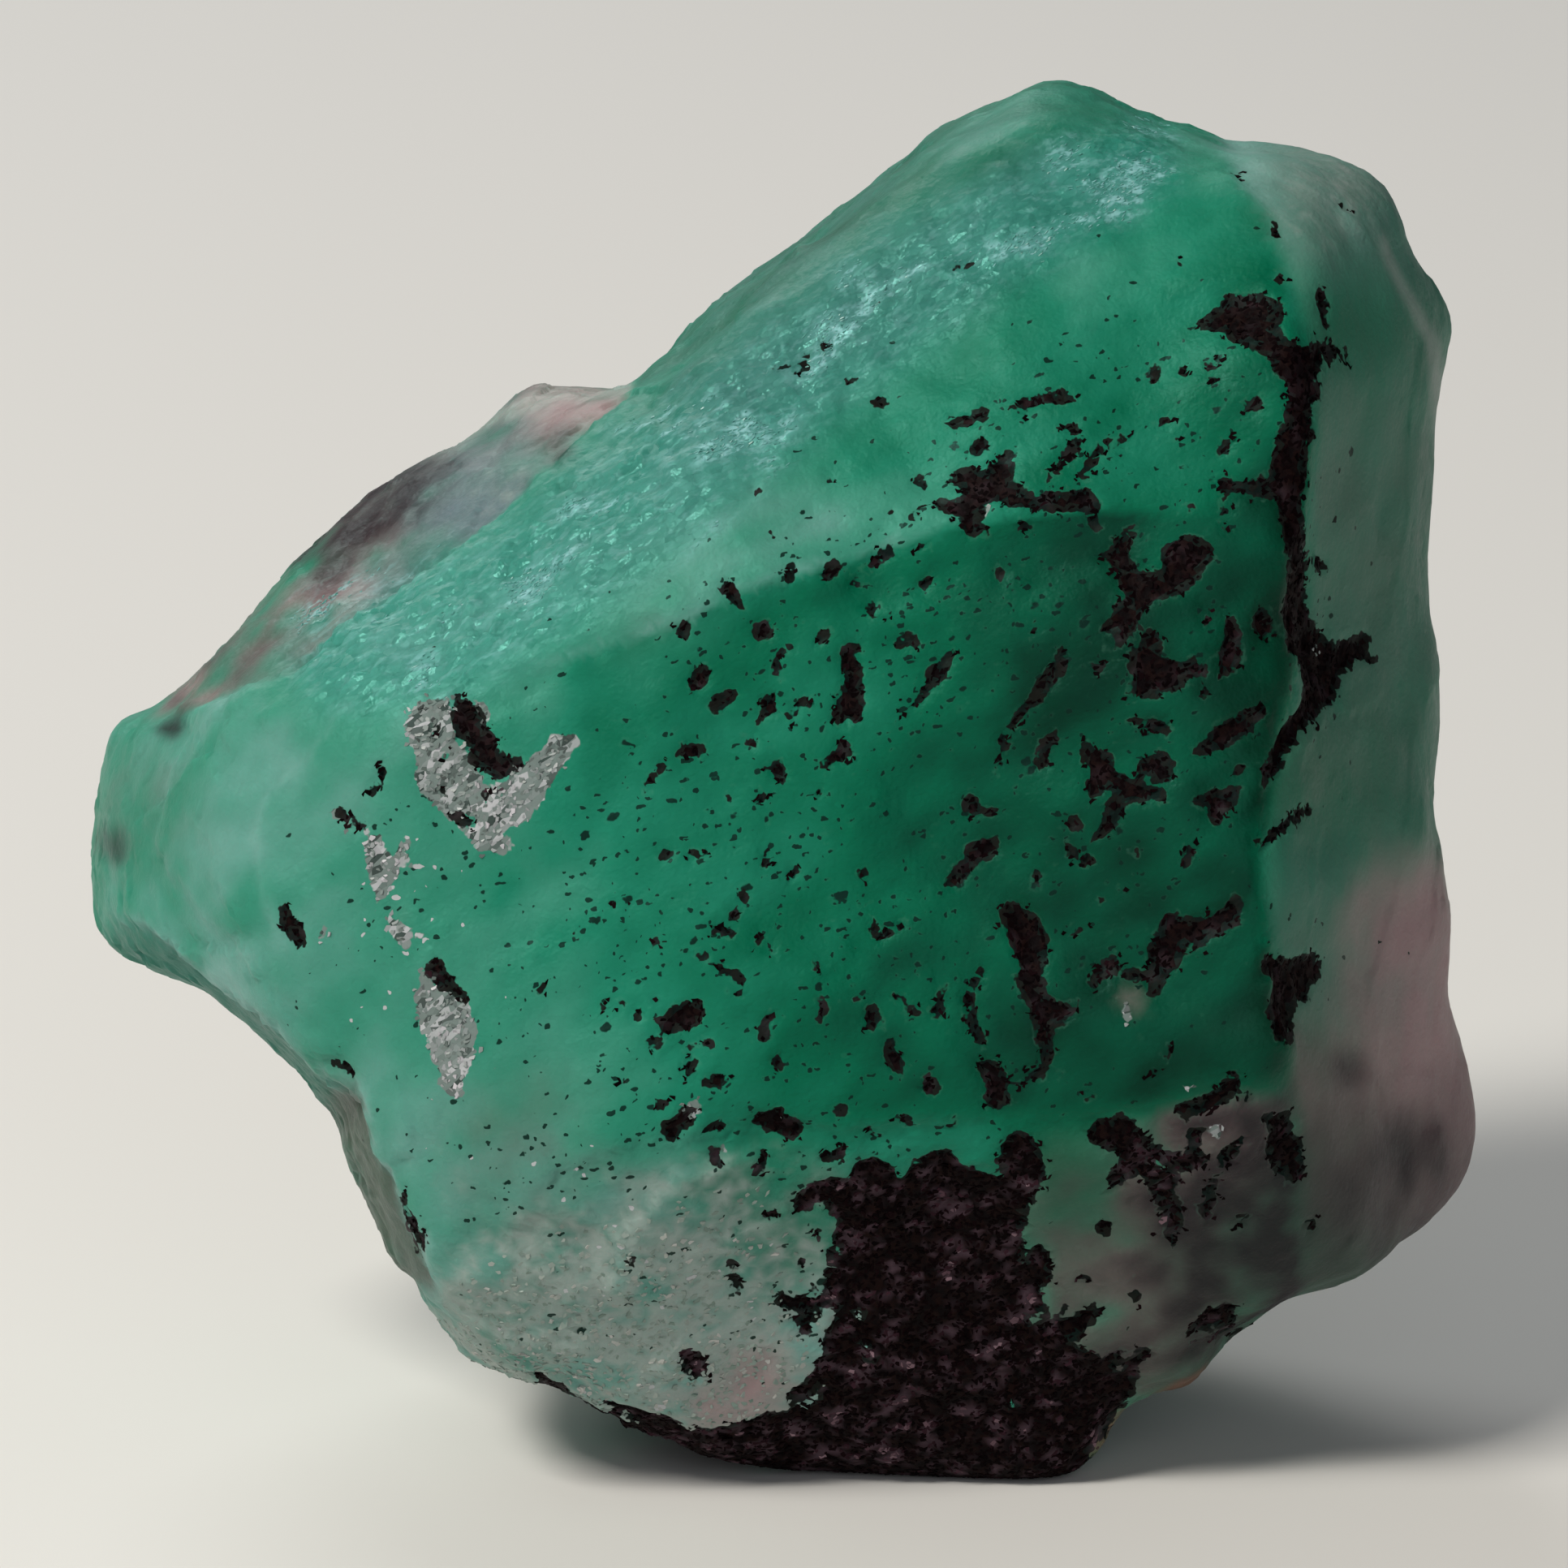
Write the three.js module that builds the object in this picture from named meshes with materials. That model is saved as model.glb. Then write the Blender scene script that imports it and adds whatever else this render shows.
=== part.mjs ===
// A rough emerald: one natural lump of green beryl with dark mica grown through it. It broke along
// flat faces on every side, its edges have since worn round, and it stands on a small flat spot.
//
// The stone is worked out in the frame of its broad face: x to the right, y up the face and z out
// of it, with the heart of the stone at 0, 0, 0. It is then leaned back and stood on its flat spot.
import * as THREE from "three";
import { ImprovedNoise } from "three/addons/math/ImprovedNoise.js";
import { mergeVertices } from "three/addons/utils/BufferGeometryUtils.js";

// Driving dimensions, in millimetres and degrees
const leanBack = 15; // the broad face looks this far above the horizon
const faceLevel = 11.2; // how far the broad face stands before the heart
const backLevel = 10.4; // how far the back stands behind it
const standLevel = 18.35; // how far the flat spot lies below the heart, measured straight down
const girdleBow = 16; // radius of the bowed wall between front and back
const wornEdge = 1.1; // how wide the broken edges are worn round
const standEdge = 0.15; // the same, where the stone stands
const facesPerIcosahedronEdge = 22; // 20 times its square is the count of triangles

// The outline of the stone as its broad face shows it, clockwise from the crown
const outline = [
  [7.6, 20.0], [8.7, 19.6], [10.1, 19.0], [11.6, 18.6], [13.4, 18.0], [15.1, 17.9], [16.8, 17.1],
  [17.6, 15.8], [18.2, 14.7], [19.6, 14.1], [18.9, 11.8], [18.4, 9.9], [18.5, 6.0], [19.1, 2.8],
  [18.4, 0.0], [18.4, -2.0], [18.9, -3.4], [19.0, -5.6], [19.5, -7.3], [20.0, -9.3], [20.2, -11.1],
  [19.3, -12.5], [17.9, -13.3], [16.3, -14.1], [14.6, -14.6], [13.2, -15.3], [12.0, -16.0],
  [11.7, -16.9], [10.0, -17.3], [9.3, -18.5], [8.5, -19.6], [6.6, -20.1], [3.6, -20.1],
  [-0.6, -19.4], [-4.1, -18.2], [-6.0, -17.1], [-8.3, -16.6], [-9.8, -15.1], [-10.9, -13.7],
  [-11.9, -12.4], [-12.6, -11.1], [-13.2, -9.5], [-14.1, -8.0], [-15.2, -6.8], [-17.0, -5.7],
  [-19.1, -5.1], [-19.6, -4.2], [-19.9, -2.7], [-19.8, -1.0], [-19.3, 0.8], [-18.9, 2.0],
  [-17.7, 2.4], [-16.6, 3.5], [-14.9, 5.0], [-13.8, 6.7], [-12.5, 8.0], [-10.4, 9.3], [-8.6, 10.3],
  [-7.2, 11.3], [-5.8, 11.3], [-4.4, 11.2], [-3.5, 11.9], [-1.9, 13.8], [-0.4, 14.7], [1.0, 15.8],
  [2.2, 16.9], [3.3, 17.8], [4.7, 18.9], [6.1, 19.4],
];

// Flat breaks. Each falls away from the level of the face or the back in the direction heading
// (0 is right, 90 up the face), from start millimetres off the heart, at the angle steep.
const frontBreaks = {
  upperFace: { heading: 106, start: 5.0, steep: 21 },
  frostedShoulder: { heading: 125, start: 6.6, steep: 37 },
  upperLeftFlank: { heading: 127, start: 9.3, steep: 60 },
  crownCorner: { heading: 24, start: 18.4, steep: 55 },
  rightFlank: { heading: -1, start: 13.5, steep: 59 },
  lowerRightCorner: { heading: -40, start: 15.4, steep: 44 },
  underFace: { heading: -86, start: 10.0, steep: 38 },
  lowerLeftFlank: { heading: 232, start: 11.4, steep: 30 },
  leftFace: { heading: 184, start: 7.0, steep: 14 },
  leftTip: { heading: 172, start: 13.8, steep: 40 },
};
const backBreaks = {
  backSlab: { heading: 74, start: -6.0, steep: 13 },
  backCrown: { heading: 78, start: 12.6, steep: 40 },
  backShoulder: { heading: 133, start: 4.6, steep: 43 },
  backLeft: { heading: 190, start: 11.6, steep: 38 },
  backHeel: { heading: 262, start: 13.6, steep: 47 },
  backToe: { heading: 300, start: 14.4, steep: 47 },
  backRight: { heading: -12, start: 12.6, steep: 41 },
  backUpperRight: { heading: 34, start: 15.6, steep: 42 },
};

// The layer above this line on the broad face stands proud of the rest, in a low ledge
const ledge = { heading: 106, start: 5.0, height: 0.5, ramp: 0.9, left: -9, right: 10 };

// Shell-shaped hollows where chips came away: the middle and the radius of each
const chips = {
  underTheTip: { middle: [-19.6, -15.0, 4.6], radius: 8.2 },
  besideTheToe: { middle: [18.6, -21.8, 4.0], radius: 6.9 },
  behindTheCrown: { middle: [8.0, 15.0, -19.6], radius: 9.5 },
  behindTheTip: { middle: [-18.5, 3.5, -15.0], radius: 9.0 },
  acrossTheBack: { middle: [-1.0, -4.0, -26.0], radius: 16.5 },
};

// Unevenness of the broken faces: height and spacing of each size of lump
const lumps = [
  { height: 0.6, spacing: 8.0 },
  { height: 0.3, spacing: 3.9 },
  { height: 0.16, spacing: 2.0 },
];

const beryl = new THREE.MeshStandardMaterial({ color: 0x3f9a78, roughness: 0.42, metalness: 0 });

// The larger of two distances, with the edge between them worn round over a width
function worn(a, b, width) {
  const overlap = Math.max(width - Math.abs(a - b), 0) / width;
  return Math.max(a, b) + (overlap * overlap * width) / 4;
}

// Distance from the heart to the outline, tabulated by angle
function outlineReach(points, steps = 720) {
  const curve = new THREE.CatmullRomCurve3(
    points.map(([x, y]) => new THREE.Vector3(x, y, 0)),
    true,
    "centripetal",
  );
  const samples = curve.getPoints(steps * 4).map((p) => [Math.atan2(p.y, p.x), Math.hypot(p.x, p.y)]);
  samples.sort((a, b) => a[0] - b[0]);
  return Array.from({ length: steps }, (_, i) => {
    const angle = -Math.PI + (2 * Math.PI * i) / steps;
    const next = samples.findIndex((s) => s[0] >= angle);
    return samples[next < 0 ? 0 : next][1];
  });
}

const reach = outlineReach(outline);

// The outline without its small notches and points, for the parts of the wall off its widest line
const broadReach = reach.map((_, i) => {
  const window = Math.round(reach.length / 20);
  let sum = 0;
  for (let k = -window; k <= window; k++) sum += reach[(i + k + reach.length) % reach.length];
  return sum / (2 * window + 1);
});

function reachAt(table, x, y) {
  const turn = ((Math.atan2(y, x) + Math.PI) / (2 * Math.PI)) * table.length;
  const low = Math.floor(turn) % table.length;
  return THREE.MathUtils.lerp(table[low], table[(low + 1) % table.length], turn - Math.floor(turn));
}

// How far a point stands outside a flat break, where out is its height over the face or the back
function outsideBreak({ heading, start, steep }, x, y, out) {
  const turn = THREE.MathUtils.degToRad(heading);
  const tilt = THREE.MathUtils.degToRad(steep);
  const along = x * Math.cos(turn) + y * Math.sin(turn) - start;
  return out * Math.cos(tilt) + along * Math.sin(tilt);
}

// The wall between front and back is widest along a line that wanders round the stone
function girdleLevel(x, y) {
  const turn = Math.atan2(y, x);
  return 0.7 + 2.2 * Math.sin(turn + 2.4) + 1.3 * Math.sin(2 * turn - 0.6);
}

function outsideWall(x, y, z) {
  const off = z - girdleLevel(x, y);
  const broad = THREE.MathUtils.smoothstep(Math.abs(off), 1.5, 9);
  const wall = THREE.MathUtils.lerp(reachAt(reach, x, y), reachAt(broadReach, x, y), broad);
  return Math.hypot(x, y) - wall + (off * off) / (2 * girdleBow);
}

const noise = new ImprovedNoise();

function lumpiness(x, y, z) {
  return lumps.reduce(
    (sum, { height, spacing }, i) =>
      sum + height * noise.noise(x / spacing + 31 * i, y / spacing + 17, z / spacing),
    0,
  );
}

// How much the layer above the ledge stands proud, fading out at the ends and up the face
function proudLayer(x, y, z) {
  if (z < 0) return 0;
  const turn = THREE.MathUtils.degToRad(ledge.heading);
  const above = x * Math.cos(turn) + y * Math.sin(turn) - ledge.start;
  const { smoothstep } = THREE.MathUtils;
  const rise = smoothstep(above, -ledge.ramp / 2, ledge.ramp / 2) * (1 - smoothstep(above, 2, 7));
  const ends = smoothstep(x, ledge.left, ledge.left + 4) * (1 - smoothstep(x, ledge.right - 3, ledge.right));
  return ledge.height * rise * ends;
}

// Below 0 inside the stone and above 0 outside it
function stoneField(x, y, z) {
  let outside = outsideWall(x, y, z);
  for (const flat of Object.values(frontBreaks))
    outside = worn(outside, outsideBreak(flat, x, y, z - faceLevel), wornEdge);
  for (const flat of Object.values(backBreaks))
    outside = worn(outside, outsideBreak(flat, x, y, -z - backLevel), wornEdge);
  outside = worn(outside, z - faceLevel, wornEdge);
  for (const { middle, radius } of Object.values(chips)) {
    const away = Math.hypot(x - middle[0], y - middle[1], z - middle[2]);
    outside = worn(outside, radius - away, wornEdge);
  }
  outside += lumpiness(x, y, z) - proudLayer(x, y, z);
  const lean = THREE.MathUtils.degToRad(leanBack);
  const underStand = -(y * Math.cos(lean) + z * Math.sin(lean)) - standLevel;
  return worn(outside, underStand, standEdge);
}

// The point where a ray from the heart leaves the stone
function surfacePoint(ray) {
  let inside = 0;
  let outside = 40;
  for (let i = 0; i < 40; i++) {
    const middle = (inside + outside) / 2;
    if (stoneField(ray.x * middle, ray.y * middle, ray.z * middle) > 0) outside = middle;
    else inside = middle;
  }
  return ray.multiplyScalar(inside);
}

function stoneGeometry() {
  const ball = new THREE.IcosahedronGeometry(1, facesPerIcosahedronEdge - 1);
  ball.deleteAttribute("normal");
  ball.deleteAttribute("uv");
  const geometry = mergeVertices(ball, 1e-5);
  const position = geometry.getAttribute("position");
  const reachOut = new THREE.Vector3(20, 20, 13); // spreads the rays evenly over a flattish stone
  const point = new THREE.Vector3();
  for (let i = 0; i < position.count; i++) {
    point.fromBufferAttribute(position, i).multiply(reachOut).normalize();
    surfacePoint(point);
    position.setXYZ(i, point.x, point.y, point.z);
  }
  return geometry;
}

// Leans the stone back and puts the middle of its box, at the flat spot, on the origin
function stand(geometry) {
  geometry.rotateX(THREE.MathUtils.degToRad(90 - leanBack));
  geometry.computeBoundingBox();
  const { min, max } = geometry.boundingBox;
  geometry.translate(-(min.x + max.x) / 2, -(min.y + max.y) / 2, -min.z);
  const position = geometry.getAttribute("position");
  const flatWithin = 0.02;
  for (let i = 0; i < position.count; i++)
    if (position.getZ(i) < flatWithin) position.setZ(i, 0);
  geometry.computeVertexNormals();
  return geometry;
}

const emerald = new THREE.Group();
const stone = new THREE.Mesh(stand(stoneGeometry()), beryl);
stone.name = "rough_emerald";
emerald.add(stone);

export default emerald;
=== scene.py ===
import math

import bmesh
import bpy
import numpy as np
from mathutils import Matrix, Vector, noise


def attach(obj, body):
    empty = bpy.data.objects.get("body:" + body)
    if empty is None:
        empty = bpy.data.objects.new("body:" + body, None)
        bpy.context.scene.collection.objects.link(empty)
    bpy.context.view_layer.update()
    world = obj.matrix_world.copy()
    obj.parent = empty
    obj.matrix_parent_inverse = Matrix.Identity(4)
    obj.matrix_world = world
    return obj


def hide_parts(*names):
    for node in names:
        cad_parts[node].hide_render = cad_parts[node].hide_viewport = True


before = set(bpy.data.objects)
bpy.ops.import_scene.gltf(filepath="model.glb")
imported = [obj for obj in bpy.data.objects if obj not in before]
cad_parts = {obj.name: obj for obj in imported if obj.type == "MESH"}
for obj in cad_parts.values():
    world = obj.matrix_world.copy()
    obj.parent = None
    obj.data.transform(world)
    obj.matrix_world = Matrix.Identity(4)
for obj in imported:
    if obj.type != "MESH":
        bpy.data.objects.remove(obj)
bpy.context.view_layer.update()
scene = bpy.context.scene
scene.view_settings.view_transform = "Standard"
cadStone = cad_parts["rough_emerald"]


def addNode(tree, kind, inputs=None, **settings):
    node = tree.nodes.new(kind)
    for name, value in settings.items():
        setattr(node, name, value)
    for socket, value in (inputs or {}).items():
        if isinstance(value, bpy.types.NodeSocket):
            tree.links.new(value, node.inputs[socket])
        else:
            node.inputs[socket].default_value = value
    return node


def linear(hexColour):
    channels = [int(hexColour[i : i + 2], 16) / 255 for i in (1, 3, 5)]
    return tuple(c / 12.92 if c <= 0.04045 else ((c + 0.055) / 1.055) ** 2.4 for c in channels) + (1.0,)


def smooth(values, low, high):
    t = np.clip((values - low) / (high - low), 0, 1)
    return t * t * (3 - 2 * t)


# Camera: level with the picture's view, from a close-up distance, fitted to the stone's outline
camera = {
    "elevation": 15,  # degrees above the horizon, square on to the broad face
    "distance": 0.30,  # m
    "pictureSize": 1932,
    "sensor": 36,  # mm
    "left": 106, "right": 1824, "top": 99, "bottom": 1819,  # edges of the stone in the picture
}
tilt = math.radians(camera["elevation"])
forward = np.array([0, math.cos(tilt), -math.sin(tilt)])
rightWay = np.array([1.0, 0, 0])
upWay = np.array([0, math.sin(tilt), math.cos(tilt)])


def inPicture(points):
    away = points - camera["eye"]
    depth = away @ forward
    scale = camera["pictureSize"] * camera["lens"] / camera["sensor"]
    half = camera["pictureSize"] / 2
    return np.stack([half + away @ rightWay / depth * scale, half - away @ upWay / depth * scale], axis=1)


def fitCamera(points):
    target = (points.min(0) + points.max(0)) / 2
    camera["lens"] = 50.0
    wide, high = camera["right"] - camera["left"], camera["bottom"] - camera["top"]
    for _ in range(30):
        camera["eye"] = target - forward * camera["distance"]
        seen = inPicture(points)
        low, top = seen.min(0), seen.max(0)
        camera["lens"] *= math.sqrt(wide / (top[0] - low[0]) * high / (top[1] - low[1]))
        pixel = camera["distance"] * camera["sensor"] / camera["pictureSize"] / camera["lens"]
        target = target + rightWay * ((low[0] + top[0] - camera["left"] - camera["right"]) / 2 * pixel)
        target = target - upWay * ((low[1] + top[1] - camera["top"] - camera["bottom"]) / 2 * pixel)
    lens = bpy.data.cameras.new("camera")
    lens.lens, lens.sensor_width, lens.clip_start = camera["lens"], camera["sensor"], 0.01
    body = bpy.data.objects.new("camera", lens)
    scene.collection.objects.link(body)
    axes = [rightWay, upWay, -forward, camera["eye"]]
    body.matrix_world = Matrix([[a[i] for a in axes] for i in range(3)] + [[0, 0, 0, 1]])
    scene.camera = body


def vertexPlaces(mesh):
    places = np.zeros(len(mesh.vertices) * 3)
    mesh.vertices.foreach_get("co", places)
    return places.reshape(-1, 3)


def vertexNormals(mesh):
    normals = np.zeros(len(mesh.vertices) * 3)
    mesh.vertex_normals.foreach_get("vector", normals)
    return normals.reshape(-1, 3)


def placeVertices(mesh, places):  # none of them below the ground that the stone stands on
    places[:, 2] = np.maximum(places[:, 2], 0)
    mesh.vertices.foreach_set("co", places.astype(np.float32).ravel())


def triangleCount(mesh):
    return sum(len(p.vertices) - 2 for p in mesh.polygons)


fitCamera(vertexPlaces(cadStone.data))
print("camera fitted, lens", round(camera["lens"], 1))

# Everything below that has a place on the stone is given in pixels of the picture, as x, y and a
# half width, and reaches the surface through the camera's projection. 43 pixels are 1 mm.
pixelsPerMm = 43
streakLean = math.radians(38)  # the crystal's streaks run this steeply up to the right

# Dark mica: flakes and books of it, drawn as chains of places that swell and narrow
darkMica = {
    "hook": [
        [(1497, 400, 12), (1520, 385, 18), (1548, 385, 20), (1572, 397, 16)],
        [(1525, 405, 20), (1560, 420, 20), (1585, 440, 20), (1602, 455, 22)],
        [(1600, 450, 18), (1630, 438, 15), (1648, 428, 7), (1656, 440, 4)],
    ],
    "vein": [
        [
            (1603, 458, 20), (1603, 490, 19), (1598, 520, 18), (1590, 555, 16), (1583, 585, 18),
            (1583, 615, 13), (1590, 650, 15), (1594, 690, 16), (1594, 725, 15), (1596, 760, 17),
            (1602, 790, 20),
        ],
        [(1502, 592, 6), (1520, 597, 7), (1548, 603, 9), (1578, 600, 11)],
    ],
    "ridgePatch": [
        [(1604, 775, 11), (1618, 800, 20), (1640, 815, 20), (1668, 800, 13), (1682, 783, 7)],
        [(1668, 800, 12), (1688, 808, 8)], [(1634, 820, 26), (1627, 850, 24), (1615, 878, 15)],
        [(1612, 880, 14), (1590, 905, 11), (1574, 928, 11), (1565, 953, 9), (1558, 972, 4)],
    ],
    "upperPatch": [
        [(1245, 562, 7), (1236, 582, 17), (1216, 600, 24), (1200, 610, 17)],
        [(1178, 588, 11), (1200, 597, 17)], [(1157, 628, 8), (1180, 622, 9), (1205, 628, 9)],
        [(1190, 642, 9), (1203, 650, 12), (1215, 655, 7)],
        [
            (1228, 604, 20), (1255, 615, 13), (1285, 618, 10), (1312, 617, 9), (1336, 620, 14),
            (1345, 635, 12), (1348, 648, 5),
        ],
    ],
    "cross": [
        [(1358, 682, 6), (1376, 675, 12), (1388, 660, 8), (1398, 652, 4)],
        [(1375, 682, 14), (1386, 702, 14), (1402, 722, 16), (1422, 726, 15)],
        [(1440, 690, 13), (1468, 680, 20), (1486, 680, 13)],
        [(1468, 692, 18), (1446, 708, 17), (1424, 727, 14)],
        [(1408, 736, 15), (1386, 756, 13), (1366, 772, 10)],
        [(1404, 748, 10), (1381, 784, 8), (1366, 798, 4)],
    ],
    "wedge": [
        [
            (1420, 790, 13), (1416, 815, 21), (1424, 834, 23), (1450, 832, 17), (1474, 826, 11),
            (1488, 822, 5),
        ],
        [(1398, 849, 8), (1416, 846, 14)],
        [(1522, 768, 10), (1523, 790, 14), (1517, 812, 13), (1511, 824, 6)],
        [(1558, 754, 8), (1562, 773, 8)],
    ],
    "longStroke": [
        [
            (1314, 803, 5), (1312, 816, 8), (1298, 832, 10), (1285, 850, 11), (1272, 868, 8),
            (1258, 886, 6), (1245, 905, 6), (1234, 928, 5), (1222, 956, 4),
        ],
        [(1172, 804, 6), (1160, 822, 9), (1146, 842, 6), (1132, 862, 5), (1121, 875, 4)],
    ],
    "bone": [
        [
            (1058, 785, 3), (1052, 805, 9), (1048, 830, 11), (1050, 850, 14), (1046, 870, 18),
            (1038, 883, 11),
        ],
        [(1061, 870, 9), (1059, 884, 8)],
    ],
    "leaningBlade": [
        [(1548, 877, 11), (1530, 893, 16), (1508, 908, 14), (1489, 921, 11), (1477, 926, 5)],
        [(1395, 888, 5), (1415, 888, 9), (1433, 897, 11)],
        [(1300, 905, 6), (1292, 925, 8), (1282, 940, 4)],
    ],
    "middleBook": [
        [(1338, 920, 9), (1354, 935, 14), (1366, 957, 19), (1348, 970, 12)],
        [(1365, 962, 17), (1396, 972, 15), (1430, 978, 13)],
        [(1418, 944, 11), (1436, 934, 9), (1436, 955, 8)],
        [(1380, 985, 12), (1368, 1010, 12), (1352, 1028, 8)],
        [(1480, 988, 10), (1505, 992, 15), (1518, 980, 9)], [(1498, 1008, 9), (1502, 1018, 5)],
    ],
    "tadpole": [
        [(1192, 985, 8), (1199, 1000, 11), (1214, 1003, 4), (1236, 1004, 2)],
        [(1225, 1042, 9), (1206, 1050, 12), (1190, 1064, 8), (1175, 1084, 6), (1161, 1093, 4)],
        [(1275, 1070, 4), (1280, 1086, 6)], [(1322, 1046, 6), (1337, 1062, 7)],
    ],
    "ridgeBlade": [[(1552, 1037, 5), (1582, 1019, 7), (1613, 993, 5)]],
    "club": [
        [(1248, 1122, 13), (1260, 1142, 24), (1270, 1165, 24), (1272, 1190, 18)],
        [(1271, 1192, 16), (1276, 1220, 14), (1286, 1243, 15), (1310, 1243, 13), (1320, 1235, 7)],
        [(1281, 1252, 13), (1286, 1280, 11), (1288, 1303, 10), (1280, 1325, 7), (1264, 1336, 5)],
        [(1214, 1312, 12), (1224, 1333, 15), (1232, 1354, 15)],
    ],
    "risingBook": [
        [(1520, 1112, 9), (1508, 1140, 14), (1480, 1152, 15)],
        [(1445, 1145, 18), (1440, 1172, 22), (1436, 1190, 18), (1424, 1210, 13), (1418, 1228, 7)],
        [(1470, 1148, 15), (1448, 1160, 16)], [(1378, 1182, 7), (1355, 1202, 9), (1337, 1214, 6)],
        [(1392, 1195, 7), (1402, 1205, 8)],
    ],
    "ridgeBook": [
        [(1566, 1188, 14), (1590, 1198, 16), (1618, 1188, 11)],
        [(1580, 1222, 16), (1578, 1248, 16), (1574, 1275, 9)], [(1612, 1205, 12), (1600, 1230, 12)],
    ],
    "hookedCurve": [
        [
            (1212, 1194, 5), (1200, 1212, 6), (1195, 1230, 6), (1195, 1253, 8), (1203, 1272, 8),
            (1207, 1284, 4),
        ],
    ],
    "smallBooks": [
        [(858, 1246, 12), (843, 1258, 14), (828, 1265, 10), (817, 1261, 5)],
        [(1095, 1288, 8), (1102, 1305, 11), (1111, 1314, 7)],
        [(958, 1252, 6), (948, 1262, 6), (942, 1279, 6)], [(1036, 1423, 14), (1022, 1424, 8)],
        [(1155, 1240, 11)], [(1120, 1245, 9)], [(1080, 1246, 6), (1080, 1263, 8)], [(1150, 1338, 12)],
        [(840, 1376, 16), (828, 1388, 13)], [(938, 1380, 12), (958, 1382, 20), (974, 1392, 15)],
        [(881, 1426, 11)], [(941, 1431, 10)], [(890, 1335, 9), (872, 1334, 7)],
        [(870, 1393, 6), (887, 1387, 6)], [(1172, 1387, 7)], [(1070, 1394, 6), (1082, 1399, 6)],
        [(1117, 1381, 10)], [(955, 1494, 6), (944, 1503, 5)], [(905, 1590, 7), (912, 1570, 9)],
        [(768, 1552, 5)], [(850, 1675, 10), (869, 1680, 13), (870, 1702, 8)],
        [(990, 1480, 7), (1015, 1472, 9), (1043, 1470, 11)],
        [(960, 1598, 5), (985, 1612, 7), (1010, 1608, 6)], [(975, 1632, 6)],
    ],
    "onTheLedge": [
        [(898, 722, 10), (914, 740, 6)], [(975, 710, 11)], [(1032, 692, 5), (1023, 706, 8)],
        [(1052, 715, 9)], [(1076, 694, 7), (1098, 682, 9)], [(1135, 675, 6)],
        [(1258, 652, 7), (1272, 652, 5)], [(842, 770, 9), (834, 780, 6)],
        [(940, 775, 14), (930, 784, 8)], [(1072, 750, 9)], [(1097, 762, 7)],
        [(1020, 780, 8), (1006, 795, 5)],
        [(1108, 795, 4), (1115, 785, 7), (1128, 788, 6), (1135, 796, 3)],
        [(972, 800, 6), (955, 812, 6), (949, 825, 6), (962, 833, 6)], [(865, 830, 11), (850, 845, 6)],
        [(888, 868, 11), (902, 860, 7)], [(952, 857, 6), (943, 875, 8), (936, 886, 4)],
        [(965, 880, 6), (983, 870, 5), (1001, 865, 6)],
        [(1045, 922, 9), (1030, 938, 8), (1011, 951, 4)], [(944, 944, 4), (955, 948, 7), (968, 962, 8)],
        [(940, 980, 7)], [(1133, 592, 5), (1142, 603, 6)], [(1022, 590, 5)],
        [(1132, 628, 4), (1125, 643, 5)], [(1095, 630, 4)], [(937, 607, 4)], [(945, 662, 4)],
    ],
    "upperMarks": [
        [(1245, 502, 4), (1262, 494, 9), (1285, 488, 8), (1306, 490, 6), (1322, 496, 3)],
        [(1163, 512, 4), (1172, 521, 8), (1195, 518, 8), (1214, 507, 6)],
        [(1200, 554, 11), (1208, 547, 8)],
        [
            (1308, 526, 3), (1324, 530, 7), (1324, 545, 8), (1313, 562, 5), (1303, 582, 4),
            (1291, 598, 3),
        ],
        [(1361, 545, 3), (1346, 564, 5), (1335, 580, 9), (1321, 593, 3)],
        [(1384, 543, 5), (1375, 555, 6)], [(1415, 463, 10)], [(1455, 455, 8), (1464, 460, 5)],
        [(1490, 451, 5), (1499, 470, 8)], [(1532, 503, 6), (1548, 488, 7)],
        [(1503, 553, 7), (1513, 539, 5)], [(1430, 519, 6), (1422, 526, 5)],
        [(1517, 627, 9), (1508, 633, 6)], [(1507, 652, 6)], [(1440, 637, 5)], [(1465, 627, 6)],
        [(1485, 762, 6)], [(1488, 846, 5), (1482, 860, 5)], [(1452, 545, 5)], [(1435, 437, 5)],
        [(1478, 398, 4)], [(1180, 330, 6), (1192, 328, 4)],
        [(955, 460, 3), (972, 451, 4), (993, 440, 3)], [(966, 457, 3), (993, 454, 3)],
        [(1042, 471, 4), (1054, 466, 4)], [(1067, 383, 3), (1081, 377, 4)], [(1318, 279, 5)],
        [(1352, 215, 4)], [(1520, 214, 7), (1530, 220, 4)], [(1568, 275, 5), (1570, 292, 6)],
        [(1577, 345, 6)], [(1627, 357, 4), (1632, 376, 4), (1636, 403, 2)], [(1650, 256, 7)],
        [(1452, 324, 3)], [(1085, 492, 9)], [(1017, 425, 5)], [(1347, 827, 6), (1360, 815, 5)],
        [(1515, 955, 5), (1532, 951, 7)], [(1300, 700, 4)],
        [(1240, 680, 3), (1231, 700, 4), (1229, 714, 3)], [(1276, 769, 4), (1270, 789, 4)],
        [(1140, 718, 5)],
    ],
    "middleSpecks": [
        [(803, 962, 5), (796, 981, 4)], [(817, 946, 6)], [(840, 930, 5), (855, 923, 8), (868, 920, 4)],
        [(922, 910, 6)], [(897, 985, 5)], [(1012, 972, 4), (1013, 986, 5)],
        [(852, 1050, 5), (870, 1050, 6)], [(818, 1062, 5), (827, 1047, 5)],
        [(944, 1047, 4), (940, 1058, 7)], [(970, 1083, 5), (980, 1070, 5)], [(1067, 1080, 7)],
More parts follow.
